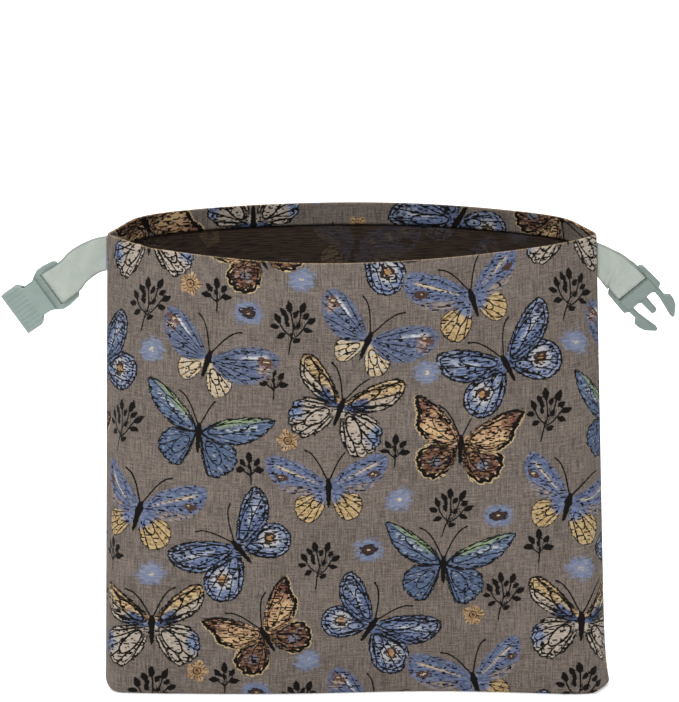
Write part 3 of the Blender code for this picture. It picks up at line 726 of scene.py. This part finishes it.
def weave_design(places, offset):
    """The fields of the woven design at places on the cloth."""
    fields = Fields(len(places))
    down, out, near, far = SEAM_SHIFT
    share = ease(np.abs(places[:, 0]), near, far)
    lower = down * share * (SEAM_SHIFT_RISE[0] + places[:, 1] / SEAM_SHIFT_RISE[1])
    places = places + np.column_stack([-out * share * np.sign(places[:, 0]), lower])
    low, high = places.min(0) - MOTIF_MARGIN, places.max(0) + MOTIF_MARGIN
    motifs = [(kind, *row, 1.0) for kind, rows in BUTTERFLIES.items() for row in rows]
    for kind, rows in SMALL_MOTIFS.items():
        motifs += [(kind, x, y, turn + 90, None, None, size) for x, y, turn, size in rows]
    steps = [step * np.array(REPEAT_ACROSS) + drop * np.array(REPEAT_DOWN) for step in REPEATS for drop in REPEATS]
    for kind, x, y, heading, left, right, size in motifs:
        for step in steps:
            at = np.array([x, y]) + offset + step
            if (at < low).any() or (at > high).any():
                continue
            p = (places - at) / np.array(MOTIF_UNIT)
            index = np.nonzero((np.abs(p) < (BUTTERFLY_REACH if left else SMALL_REACH)).all(1))[0]
            if not len(index):
                continue
            p = turned(p[index], heading - 90) / size
            if left:
                draw_butterfly(fields, index, p, kind, left, right)
            elif kind in SPRIGS:
                draw_sprig(fields, index, p, kind)
            else:
                draw_flower(fields, index, p, kind)
    return fields.values


# Stands for a place below the rim where the painted highlight on the rim's fold can't reach
FAR_BELOW_RIM = 400.0


def grid_faces(at):
    """Four-sided faces over rows of point numbers."""
    return np.stack([at[:-1, :-1], at[:-1, 1:], at[1:, 1:], at[1:, :-1]], axis=2).reshape(-1, 4)


class Sheet:
    """One face of a panel's cloth: its points, faces, places on the cloth at points and at face corners, and border."""

    def __init__(self, panel, sink):
        wall = panel.wall()
        height, columns = wall.shape[:2]
        corner = panel.corner
        floor = panel.floor_rows(wall[-1])[:, 1:-1]
        places = cloth_places(wall, panel.rim_height.mean() + HEM_DEPTH)
        fold = np.argmax(wall[: height // 2, columns // 2, 2])
        below_rim = places[fold, :, 1] - places[:, :, 1]
        self.below_rim = np.concatenate([below_rim.ravel(), np.full(floor[..., 0].size, FAR_BELOW_RIM)])
        out = np.cross(np.gradient(wall, axis=1), np.gradient(wall, axis=0))
        out /= np.linalg.norm(out, axis=2)[:, :, None]
        out *= np.sign(out[height // 2, columns // 2, 1]) * panel.side
        out[-1] = (0.0, 0.0, -1.0)
        self.points = np.concatenate([(wall - out * sink).reshape(-1, 3), floor.reshape(-1, 3) + (0.0, 0.0, sink)])
        at = np.arange(height * columns).reshape(height, columns)
        inner = at.size + np.arange(floor[..., 0].size).reshape(floor.shape[:2])
        rows = [at[-1, corner : columns - corner]]
        for step, middle in enumerate(inner, start=1):
            rows.append(np.concatenate([[at[-1, corner - step]], middle, [at[-1, columns - 1 - corner + step]]]))
        rows = np.array(rows)
        self.faces = np.concatenate([grid_faces(at), grid_faces(rows)])
        self.borders = (at[0], at[:, -1], rows[-1], at[:, 0])
        ring = places[-1, corner : columns - corner]
        fall = np.arange(corner + 1)[:, None] * panel.cell / MM
        below = np.stack([np.broadcast_to(ring[:, 0], (corner + 1, len(ring))), ring[:, 1] - fall], axis=2)
        self.places = np.concatenate([places.reshape(-1, 2), below[1:, 1:-1].reshape(-1, 2)])
        flat = grid_faces(np.arange(rows.size).reshape(rows.shape))
        corners = np.concatenate([self.places[grid_faces(at)], below.reshape(-1, 2)[flat]])
        self.corner_places = corners.reshape(-1, 2)


def border_strip(first, second, points):
    """Triangles between two lines of points that run side by side."""
    shares = []
    for line in (first, second):
        steps = np.linalg.norm(np.diff(points[line], axis=0), axis=1)
        shares.append(np.concatenate([[0.0], np.cumsum(steps)]) / steps.sum())
    a, b = 0, 0
    found = []
    while a < len(first) - 1 or b < len(second) - 1:
        ahead = a < len(first) - 1 and (b == len(second) - 1 or shares[0][a + 1] <= shares[1][b + 1])
        if ahead:
            found.append((first[a], first[a + 1], second[b]))
            a += 1
        else:
            found.append((first[a], second[b + 1], second[b]))
            b += 1
    return found


# The bake's map: the right side takes the lower part, and the reverse the rest. Low and high of its up direction
MAP_RIGHT_SIDE = (0.0, 0.66)
MAP_REVERSE = (0.68, 1.0)
MAP_MARGIN = 2.0


def panel_mesh(name, tables, offset):
    """A panel as a closed sheet: the finely meshed right side, a coarser reverse, and the border between them."""
    right = Sheet(Panel(*tables, CELL), 0.0)
    reverse = Sheet(Panel(*tables, REVERSE_CELL), CLOTH_THICKNESS)
    first = len(right.points)
    points = np.concatenate([right.points, reverse.points])
    strips = []
    for near, far in zip(right.borders, reverse.borders):
        strips += border_strip(near, far + first, points)
    mesh = bpy.data.meshes.new(name)
    faces = right.faces.tolist() + (reverse.faces + first).tolist() + strips
    mesh.from_pydata((points + BAG_SHIFT).tolist(), [], faces)
    all_places = np.concatenate([right.places, reverse.places])
    places = all_places * (-tables[0], 1)
    add_vectors(mesh, "cloth", np.column_stack([places, np.concatenate([right.below_rim, reverse.below_rim])]))
    for field, values in weave_design(places, np.array(offset)).items():
        add_vectors(mesh, field, values)
    corners = np.concatenate([right.corner_places, reverse.corner_places])
    low, high = corners.min(0) - MAP_MARGIN, corners.max(0) + MAP_MARGIN
    spots = []
    for part, (start, end) in (
        (right.corner_places, MAP_RIGHT_SIDE),
        (reverse.corner_places, MAP_REVERSE),
        (all_places[np.array(strips).ravel()], MAP_RIGHT_SIDE),
    ):
        spread = (part - low) / (high - low)
        spots.append(np.column_stack([spread[:, 0], start + spread[:, 1] * (end - start)]))
    layer = mesh.uv_layers.new(name="OFBake")
    layer.data.foreach_set("uv", np.concatenate(spots).astype(np.float32).ravel())
    backing = np.zeros(len(mesh.polygons), np.int32)
    backing[len(right.faces) : len(right.faces) + len(reverse.faces)] = 1
    mesh.polygons.foreach_set("material_index", backing)
    bm = bmesh.new()
    bm.from_mesh(mesh)
    bmesh.ops.recalc_face_normals(bm, faces=bm.faces)
    bm.to_mesh(mesh)
    bm.free()
    mesh.shade_smooth()
    return mesh


def add_vectors(mesh, name, values):
    layer = mesh.attributes.new(name, "FLOAT_VECTOR", "POINT")
    layer.data.foreach_set("vector", np.ascontiguousarray(values, np.float32).ravel())


def add_object(name, data):
    obj = bpy.data.objects.new(name, data)
    bpy.context.scene.collection.objects.link(obj)
    return obj


def thicken(obj, thickness):
    """Gives a sheet its thickness, half to each side."""
    solid = obj.modifiers.new("thickness", "SOLIDIFY")
    solid.thickness = thickness
    solid.offset = 0.0
    solid.use_even_offset = True
    solid.use_quality_normals = True
    bpy.context.view_layer.update()
    graph = bpy.context.evaluated_depsgraph_get()
    mesh = bpy.data.meshes.new_from_object(obj.evaluated_get(graph), preserve_all_data_layers=True, depsgraph=graph)
    obj.modifiers.clear()
    obj.data = mesh


class Wire:
    """A value in a material's nodes, with arithmetic."""

    def __init__(self, tree, socket):
        self.tree = tree
        self.socket = socket

    def math(self, operation, *others):
        node = self.tree.nodes.new("ShaderNodeMath")
        node.operation = operation
        for place, value in enumerate((self, *others)):
            feed(self.tree, node.inputs[place], value)
        return Wire(self.tree, node.outputs[0])

    __add__ = partialmethod(math, "ADD")
    __sub__ = partialmethod(math, "SUBTRACT")
    __mul__ = partialmethod(math, "MULTIPLY")
    __truediv__ = partialmethod(math, "DIVIDE")
    __abs__ = partialmethod(math, "ABSOLUTE")
    max = partialmethod(math, "MAXIMUM")
    floor = partialmethod(math, "FLOOR")

    def wave(self, length):
        """A wave from 0 to 1 along the value."""
        return (self * (math.tau / length)).math("SINE") * 0.5 + 0.5

    def above(self, low, high):
        """0 below low, 1 above high, eased between. low may be above high."""
        node = self.tree.nodes.new("ShaderNodeMapRange")
        node.interpolation_type = "SMOOTHSTEP"
        feed(self.tree, node.inputs["Value"], self)
        node.inputs["From Min"].default_value = low
        node.inputs["From Max"].default_value = high
        return Wire(self.tree, node.outputs["Result"])


def feed(tree, socket, value):
    if isinstance(value, Wire):
        tree.links.new(value.socket, socket)
    elif hasattr(socket.default_value, "__len__") and not hasattr(value, "__len__"):
        socket.default_value = (value,) * len(socket.default_value)
    else:
        socket.default_value = value


class Finish:
    """A material being made: its nodes as wires."""

    def __init__(self, name):
        self.material = bpy.data.materials.new(name)
        self.material.use_nodes = True
        self.tree = self.material.node_tree
        self.shader = self.tree.nodes["Principled BSDF"]

    def node(self, kind, **inputs):
        node = self.tree.nodes.new("ShaderNode" + kind)
        for name, value in inputs.items():
            feed(self.tree, node.inputs[name.replace("_", " ")], value)
        return node

    def attribute(self, name):
        node = self.node("Attribute")
        node.attribute_name = name
        return Wire(self.tree, node.outputs["Vector"])

    def parts(self, vector):
        """The three parts of a vector, given as a wire or as an attribute's name."""
        vector = self.attribute(vector) if isinstance(vector, str) else vector
        return [Wire(self.tree, out) for out in self.node("SeparateXYZ", Vector=vector).outputs]

    def joined(self, x, y, z=0.0):
        return Wire(self.tree, self.node("CombineXYZ", X=x, Y=y, Z=z).outputs[0])

    def noise(self, vector, scale=1.0, detail=1.0):
        return Wire(self.tree, self.node("TexNoise", Vector=vector, Scale=scale, Detail=detail).outputs[0])

    def speckle(self, x, y, z=0.0):
        """A value for each whole step of x and y."""
        return Wire(self.tree, self.node("TexWhiteNoise", Vector=self.joined(x.floor(), y.floor(), z)).outputs["Value"])

    def mix(self, share, first, second):
        """Colours are wires, or from 0 to 255."""
        node = self.tree.nodes.new("ShaderNodeMix")
        node.data_type = "RGBA"
        feed(self.tree, node.inputs[0], share)
        for socket, value in ((node.inputs[6], first), (node.inputs[7], second)):
            feed(self.tree, socket, value if isinstance(value, Wire) else (*colour(value), 1.0))
        return Wire(self.tree, node.outputs[2])

    def bump(self, height, strength, distance):
        node = self.node("Bump", Height=height, Strength=strength, Distance=distance)
        self.tree.links.new(node.outputs[0], self.shader.inputs["Normal"])

    def set(self, **inputs):
        for name, value in inputs.items():
            feed(self.tree, self.shader.inputs[name.replace("_", " ")], value)


def wing_layers(finish, wing, cell, w):
    """Where one pair of wings covers the cloth, and its colour, from the design's wires."""
    inside, phase, reach = finish.parts(wing)
    frayed = inside + w.ragged * (w.haze + 0.75)
    cover = (frayed / (w.soft * 2.4 + 0.35)).above(-0.6, 1.0)
    off_centre = phase.math("FRACT") - 0.5
    from_centre = abs(off_centre)
    spacing = reach * w.spread
    from_vein = (from_centre * -1.0 + 0.5) * spacing + w.ragged * 0.6
    vein = (w.vein - from_vein).above(-0.15, 0.3) * cell.above(-0.6, 0.6) * spacing.above(0.95, 3.2)
    cell_line = (abs(cell) + w.ragged * 0.6 - w.vein).above(0.3, -0.15)
    lines = vein.max(cell_line) * w.vein.above(0.05, 0.2)
    scallop = abs(inside - from_centre * 3.0 - 4.0) + w.ragged * 0.8
    lines = lines.max(scallop.above(0.9, 0.5) * w.dash.above(0.5, 0.56) * cell.above(0.0, 2.0))
    tone = finish.mix(w.weft, finish.attribute(wing + "_ground"), finish.attribute(wing + "_streak"))
    tone = finish.mix(w.glints * (w.soft * -0.8 + 1.0), tone, GLINT)
    tone = finish.mix(lines.max(w.dashes), tone, INK)
    in_margin = (w.margin - frayed - from_centre * 2.0).above(-0.3, 0.4) * w.margin.above(0.5, 1.0)
    tone = finish.mix(in_margin * reach.above(10, 20), tone, INK)
    dot_x = off_centre * spacing
    dot_y = inside - (w.margin * 0.5 + 2.2)
    away = (dot_x * dot_x + dot_y * dot_y).math("SQRT")
    dots = (w.dot - away - w.ragged * 0.4).above(-0.2, 0.3) * w.dot.above(0.2, 0.6)
    tone = finish.mix(dots, tone, w.edge)
    outline = (w.outline - frayed).above(-0.25, 0.25) * w.outline.above(0.1, 0.5) * reach.above(8, 15)
    return cover, finish.mix(outline, tone, w.edge)


# The cloth's threads: spacing of the warp and the weft, height of a pick of the design, length of a float and its
# step from pick to pick; painted shade between the threads and over the reverse; painted highlight on the rim's fold
WARP_SPACING = 0.8
WEFT_SPACING = 0.62
PICK = 1.05
FLOAT = 2.3
FLOAT_STEP = 0.37
BETWEEN_THREADS = (38.7, 36.4, 34.0)
BETWEEN_REVERSE_THREADS = (38.7, 31.4, 25.5)
RUBBED = (168, 144, 110)


def woven_colour(finish, base):
    """The design's colour over the ground cloth, and how much of the cloth the design covers."""
    across, up, _ = finish.parts("cloth")
    pick = (up / PICK).floor()
    w = SimpleNamespace(ragged=finish.speckle(across / FLOAT + pick * FLOAT_STEP, pick) - 0.5)
    w.weft = finish.noise(finish.joined(across / 5.5, pick * 0.9, 3.0)).above(0.44, 0.6)
    w.glints = finish.noise(finish.joined(across / 4.2, pick * 0.95, 23.0)).above(0.58, 0.7) * 0.36
    short_threads = finish.noise(finish.joined(across / 4.8, pick * 0.9, 11.0))
    w.edge = finish.attribute("edge")
    w.outline, w.vein, w.haze = finish.parts("style")
    w.dot, w.margin, w.soft = finish.parts("detail")
    eye, core, w.spread = finish.parts("eye")
    fore_cell, hind_cell, w.dash = finish.parts("cells")
    w.dashes = (short_threads - 0.78 + w.dash * 0.36).above(0.0, 0.05)
    hind_cover, hind = wing_layers(finish, "hind", hind_cell, w)
    fore_cover, fore = wing_layers(finish, "fore", fore_cell, w)
    tone = finish.mix(fore_cover, finish.mix(hind_cover, base, hind), fore)
    eye = eye + w.ragged * 2.6
    tone = finish.mix(eye.above(-0.2, 0.4), tone, finish.attribute("eye_tone"))
    tone = finish.mix(eye.above(1.6, 2.2), tone, EYE_RING)
    tone = finish.mix((eye - core).above(-0.2, 0.3), tone, EYE_CORE)
    ink, line, bare = finish.parts("ink")
    on_line = (abs(line) + w.ragged * 0.35).above(1.0, 0.5) * bare.above(3.0, 2.0)
    inked = (ink + w.ragged * 0.9).above(-0.2, 0.3).max(on_line)
    return finish.mix(inked, tone, INK), hind_cover.max(fore_cover).max(inked)


def weave_lines(finish):
    """Threads and slubs of the cloth: warp, weft, slubs and grain, each from 0 to 1."""
    across, up, _ = finish.parts("cloth")
    slub_across = finish.noise(finish.joined(across / 13.0, up / 0.85), detail=3.0)
    slub_up = finish.noise(finish.joined(across / 0.9, up / 15.0, 7.0), detail=3.0)
    grain = finish.speckle(across / 1.1, up / 0.9, 5.0)
    return across.wave(WARP_SPACING), up.wave(WEFT_SPACING), slub_across, slub_up, grain


def jacquard():
    finish = Finish("taupe_jacquard")
    warp, weft, slub_across, slub_up, grain = weave_lines(finish)
    broad = finish.noise(finish.attribute("cloth"), scale=0.02, detail=2.0)
    base = finish.mix(broad.above(0.35, 0.65), (101, 92, 86), (109, 100, 93))
    for share, tint in (
        (slub_across.above(0.5, 0.64) * 0.6, (136, 124, 115)),
        (slub_across.above(0.46, 0.34) * 0.6, (70, 62, 57)),
        (slub_up.above(0.5, 0.64) * 0.55, (134, 122, 113)),
        (slub_up.above(0.46, 0.34) * 0.6, (70, 62, 57)),
        (grain.above(0.5, 1.0) * 0.34, (68, 60, 56)),
        (grain.above(0.4, 0.0) * 0.2, (140, 128, 120)),
    ):
        base = finish.mix(share, base, tint)
    tone, cover = woven_colour(finish, base)
    # Painted highlight: a lighter tan line along the rim's fold, standing for the light that the fold catches
    worn = abs(finish.parts("cloth")[2]).above(1.5, 0.4) * slub_up.above(0.3, 0.6)
    tone = finish.mix(worn * 0.6, tone, RUBBED)
    # Painted shade between the warp and weft threads, and a little more over the slubs that run across
    gaps = (warp * weft) * 0.14 + slub_across.above(0.35, 0.6) * 0.08
    shade = finish.mix(gaps, tone, BETWEEN_THREADS)
    finish.set(Base_Color=shade, Roughness=grain * 0.12 + 0.84, Sheen_Weight=0.02, Sheen_Roughness=0.5)
    finish.set(Specular_IOR_Level=0.1)
    height = warp * 0.35 + weft * 0.45 + slub_across * 1.2 + slub_up + cover * 0.6 + grain * 0.25
    finish.bump(height, 0.6, 0.3 * MM)
    return finish.material


def jacquard_reverse():
    finish = Finish("jacquard_reverse")
    warp, weft, slub_across, slub_up, grain = weave_lines(finish)
    # The reverse's dark browns are partly its own colour and partly painted shade of the bag's inside
    tone, cover = woven_colour(finish, finish.mix(slub_up.above(0.4, 0.7), (46, 34, 27), (66, 52, 42)))
    floats = finish.mix(slub_across.above(0.42, 0.6), (34, 25, 20), (70, 55, 45))
    # Painted shade darkens the whole reverse a little more
    shade = finish.mix(0.3, finish.mix(0.84, tone, floats), BETWEEN_REVERSE_THREADS)
    finish.set(Base_Color=shade, Roughness=0.92, Sheen_Weight=0.05, Specular_IOR_Level=0.2)
    height = warp * 0.3 + weft * 0.5 + slub_across * 1.1 + cover * 0.4 + grain * 0.3
    finish.bump(height, 0.6, 0.3 * MM)
    return finish.material


def webbing():
    finish = Finish("sage_webbing")
    across, run, layer = finish.parts("webbing")
    rib = run.wave(WEBBING_RIB)
    lean = (across * (math.tau / 1.6) + run * (math.tau / 2.3)).math("SINE") * 0.5 + 0.5
    grain = finish.speckle(across / 0.55, run / 0.5, layer)
    broad = finish.noise(finish.attribute("webbing"), scale=0.09, detail=2.0)
    edge = abs(across).above(*SELVEDGE)
    base = finish.mix(broad.above(0.35, 0.65), (156, 163, 155), (165, 172, 164))
    base = finish.mix(grain * 0.22, base, (136, 150, 140))
    # Painted shade: the webbing darkens along its edges, where it turns from the light
    base = finish.mix(edge * 0.6, base, (104, 117, 110))
    base = finish.mix(rib * 0.12, base, (120, 134, 125))
    finish.set(Base_Color=base, Roughness=0.62, Sheen_Weight=0.15)
    finish.bump(rib * 0.6 + lean * 0.35 + grain * 0.25 - edge * 0.4, 0.5, 0.2 * MM)
    return finish.material


def plastic(name, half, ribs, tone):
    """Moulded plastic. Ribs run along the buckle half's axis, on its body."""
    finish = Finish(name)
    place = Wire(finish.tree, finish.node("NewGeometry").outputs["Position"])
    x, _, z = finish.parts(place)
    x = x - (half["origin"][0] * MM + BAG_SHIFT[0])
    z = z - half["origin"][1] * MM
    turn = math.radians(half["angle"])
    sideways = z * math.cos(turn) - x * math.sin(turn)
    lengthways = x * math.cos(turn) + z * math.sin(turn)
    fine = finish.noise(place, scale=900.0, detail=2.0)
    broad = finish.noise(place, scale=60.0, detail=2.0)
    # A tone below 1 is painted shade: it darkens a half's colour as if that half were turned from the light
    low, high = (np.array(rgb) * tone for rgb in ((118, 133, 127), (128, 143, 137)))
    finish.set(Base_Color=finish.mix(broad.above(0.3, 0.7), low, high))
    finish.set(Roughness=fine * 0.12 + 0.36, Specular_IOR_Level=0.45)
    on_body = lengthways.above(*RIBS_RISE) * lengthways.above(*RIBS_END)
    rib = (sideways * (math.tau / RIB_SPACING)).math("SINE").above(0.5, 0.95) * on_body
    finish.bump(rib * ribs + fine * 0.06, 0.6, 0.5 * MM)
    return finish.material


def add_panel(name, tables, offset, stands_for):
    obj = add_object(name, panel_mesh(name, tables, offset))
    obj.data.materials.append(jacquard())
    obj.data.materials.append(jacquard_reverse())
    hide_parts(stands_for)
    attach(obj, "root")


# Straps and buckles
WEBBING_WIDTH = 25.0 * MM
WEBBING_THICKNESS = 1.3 * MM
LAYER_GAP = 0.7 * MM
BAR_THICKNESS = 4.2 * MM
BAR_CLEARANCE = 0.45 * MM
BAR_REACHED = 0.7
SPREAD_AT_BAR = 0.045
# The webbing's weave in millimetres: spacing of its ribs, and where, across it, the band along each edge begins
# that painted shade darkens and the bump lowers
WEBBING_RIB = 1.15
SELVEDGE = (11.3, 12.3)
# Grip ribs on a buckle half: spacing, and where along it they rise and end
RIB_SPACING = 3.4 * MM
RIBS_RISE = (1.5 * MM, 2.5 * MM)
RIBS_END = (16.0 * MM, 14.0 * MM)
SOCKET = dict(origin=(-244.9, 279.9), angle=35.4, twist=-4.0)
PLUG = dict(origin=(195.6, 305.6), angle=-47.7, twist=7.0)
REACH_ROUND_SOCKET_BAR = 4.5 * MM
REACH_ROUND_PLUG_BAR = 3.95 * MM

# Middle lines: x, z, and the angle of the webbing's width to upright in degrees
STRAP_LEFT = (
    (-177.85, 325.4, -1.18), (-184.5, 323.9, 9), (-191.6, 320.4, 20), (-199.0, 315.0, 31), (-204.80, 308.40, 35.4),
    (-214.25, 301.68, 35.4),
)
STRAP_RIGHT = (
    (175.06, 320.5, 1.87), (180.5, 317.2, -14), (187.2, 312.8, -33), (193.04, 308.41, -47.7), (198.22, 302.72, -47.7),
)
# Soft folds across a strap: share of its length, lean, half width as shares, and height
FOLDS_LEFT = ((0.3, 0.1, 0.12, 0.4), (0.62, -0.08, 0.1, -0.5))
FOLDS_RIGHT = ((0.4, 0.12, 0.07, 0.9), (0.56, 0.12, 0.06, -0.8), (0.72, 0.14, 0.06, 0.9))
STRAP_STEPS = 44
TURN_STEPS = 12
WEBBING_COLUMNS = 12


def strap_stations(route, twist, reach):
    """Places along a doubled strap, from its front end at the seam, round the bar and back: middle, width, normal and
    share of its length."""
    middle = curve_through([(x * MM, z * MM) for x, z, _ in route])
    lean = curve_through([(row, angle) for row, (_, _, angle) in enumerate(route)])
    shares = np.linspace(0.0, 1.0, STRAP_STEPS)
    line = along(middle, shares)
    angles = np.interp(shares * (len(route) - 1), lean[:, 0], lean[:, 1])
    ahead = line[-1] - line[-2]
    ahead = Vector((ahead[0], 0.0, ahead[1])) / np.linalg.norm(ahead)
    near = (LAYER_GAP + WEBBING_THICKNESS) / 2
    apart = BAR_THICKNESS / 2 + BAR_CLEARANCE + WEBBING_THICKNESS / 2
    found = []
    for share, (x, z), angle in zip(shares, line, np.radians(angles)):
        offset = near + (apart - near) * min(1.0, share / BAR_REACHED) ** 2
        turn = Matrix.Rotation(math.radians(twist * share), 3, ahead)
        upright = Vector((-math.sin(angle), 0.0, math.cos(angle)))
        found.append((Vector((x, 0.0, z)), turn @ upright, turn @ Vector((0.0, -offset, 0.0)), share))
    centre, width, normal, _ = found[-1]
    round_bar = []
    for step in range(1, TURN_STEPS):
        angle = math.pi * step / TURN_STEPS
        round_bar.append((centre + ahead * (reach * math.sin(angle)), width, normal * math.cos(angle), 1.0))
    back = [(place, across, -away, share) for place, across, away, share in reversed(found)]
    return found + round_bar + back


def fold_height(folds, share, across):
    """How far the webbing stands forward at a place, and nothing at either end."""
    height = sum(rise * math.exp(-(((share + lean * across - at) / half) ** 2)) for at, lean, half, rise in folds)
    return height * MM * math.sin(math.pi * min(1.0, share)) ** 0.5


def add_strap(name, stands_for, route, twist, reach, folds):
    """Doubled webbing with its ribs, edges darkened by painted shade, and soft folds."""
    stations = strap_stations(route, twist, reach)
    points, marks = [], []
    run = 0.0
    before = stations[0][0] + stations[0][2]
    for middle, width, away, along_strap in stations:
        here = middle + away
        run += (here - before).length
        before = here
        spread = 1.0 + SPREAD_AT_BAR * along_strap**8
        for share in np.linspace(-1, 1, WEBBING_COLUMNS + 1):
            forward = Vector((0.0, -fold_height(folds, along_strap, share), 0.0))
            points.append(here + width * (WEBBING_WIDTH / 2 * share * spread) + forward + Vector(BAG_SHIFT))
            marks.append((share * WEBBING_WIDTH / 2 / MM, run / MM, 0.0))
    mesh = bpy.data.meshes.new(name)
    mesh.from_pydata(points, [], grid_faces(np.arange(len(points)).reshape(len(stations), -1)).tolist())
    add_vectors(mesh, "webbing", np.array(marks))
    mesh.shade_smooth()
    obj = add_object(name, mesh)
    mesh.materials.append(webbing())
    thicken(obj, WEBBING_THICKNESS)
    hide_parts(stands_for)
    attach(obj, "root")


def dress_buckle(name, half, ribs, tone):
    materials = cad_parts[name].data.materials
    materials.clear()
    materials.append(plastic(name + "_plastic", half, ribs, tone))


# Stage lights: name, place, what it looks at, size and power
LIGHTS = (
    ("key", (-0.7, -1.2, 2.1), (0, 0, 0.2), 0.8, 34),
    ("fill", (1.6, -1.2, 1.4), (0, 0, 0.2), 1.5, 6),
    ("top", (0.0, 1.2, 2.6), (0, 1.0, 0.0), 2.4, 60),
)
WORLD_STRENGTH = 0.45
FLOOR_HALF = 12.0


def add_light(name, place, target, size, power):
    light = bpy.data.lights.new(name, "AREA")
    light.shape = "DISK"
    light.size = size
    light.energy = power
    obj = add_object(name, light)
    obj.location = place
    obj.rotation_euler = (Vector(target) - Vector(place)).to_track_quat("-Z", "Y").to_euler()


def add_floor():
    mesh = bpy.data.meshes.new("floor")
    corners = ((-1, -1), (1, -1), (1, 1), (-1, 1))
    mesh.from_pydata([(x * FLOOR_HALF, y * FLOOR_HALF, 0) for x, y in corners], [], [(0, 1, 2, 3)])
    floor = add_object("floor", mesh)
    finish = Finish("pale_floor")
    finish.set(Base_Color=(0.9, 0.9, 0.9, 1.0), Roughness=0.9, Specular_IOR_Level=0.1)
    finish.set(Emission_Color=(1.0, 1.0, 1.0, 1.0), Emission_Strength=0.4)
    mesh.materials.append(finish.material)


CAMERA_TARGET = (0.0, 0.0, 0.17)
CAMERA_ELEVATION = 18.0
CAMERA_DISTANCE = 3.0
CAMERA_LENS = 217.65
CAMERA_SENSOR = 36.0
CAMERA_NEAR = 0.1
# How far the view is aimed off the target across and up, and the picture's lens, in pixels
CAMERA_AIM = (14.5, -107.5)
PIXELS_PER_LENS = 4105.1


def add_camera():
    """Looks down at the bag from the front, aimed so that the bag stands low in the picture."""
    camera = bpy.data.cameras.new("camera")
    camera.lens = CAMERA_LENS
    camera.sensor_width = CAMERA_SENSOR
    camera.sensor_fit = "HORIZONTAL"
    camera.clip_start = CAMERA_NEAR
    obj = add_object("camera", camera)
    rise = math.radians(CAMERA_ELEVATION)
    back = Vector((0.0, -math.cos(rise), math.sin(rise)))
    obj.location = Vector(CAMERA_TARGET) + Vector(BAG_SHIFT) + back * CAMERA_DISTANCE
    face = (-back).to_track_quat("-Z", "Y").to_matrix().to_4x4()
    sideways = Matrix.Rotation(math.atan(CAMERA_AIM[0] / PIXELS_PER_LENS), 4, "Y")
    upward = Matrix.Rotation(math.atan(-CAMERA_AIM[1] / PIXELS_PER_LENS), 4, "X")
    obj.rotation_euler = (face @ upward @ sideways).to_euler()
    bpy.context.scene.camera = obj


def set_world():
    world = bpy.data.worlds.new("studio")
    bpy.context.scene.world = world
    world.use_nodes = True
    background = world.node_tree.nodes["Background"]
    background.inputs["Color"].default_value = (1.0, 1.0, 1.0, 1.0)
    background.inputs["Strength"].default_value = WORLD_STRENGTH


def build():
    front = (-1, RIM_FRONT, FLOOR_FRONT, FLOOR_FRONT_CORNERS, RIM_HEIGHT_FRONT, RELIEF_FRONT)
    back = (1, RIM_BACK, FLOOR_BACK, FLOOR_BACK_CORNERS, RIM_HEIGHT_BACK, RELIEF_BACK)
    add_panel("jacquard_front", front, (0.0, 0.0), "front_panel")
    add_panel("jacquard_back", back, BACK_OFFSET, "back_panel")
    add_strap("webbing_left", "strap_left", STRAP_LEFT, -SOCKET["twist"], REACH_ROUND_SOCKET_BAR, FOLDS_LEFT)
    add_strap("webbing_right", "strap_right", STRAP_RIGHT, PLUG["twist"], REACH_ROUND_PLUG_BAR, FOLDS_RIGHT)
    dress_buckle("buckle_socket", SOCKET, ribs=1.4, tone=1.0)
    # The plug's tone is painted shade: its colour is darker as if it faced away from the light
    dress_buckle("buckle_plug", PLUG, ribs=0.0, tone=0.91)
    add_floor()
    set_world()
    for row in LIGHTS:
        add_light(*row)
    add_camera()
    bpy.context.scene.view_settings.view_transform = "Standard"


build()
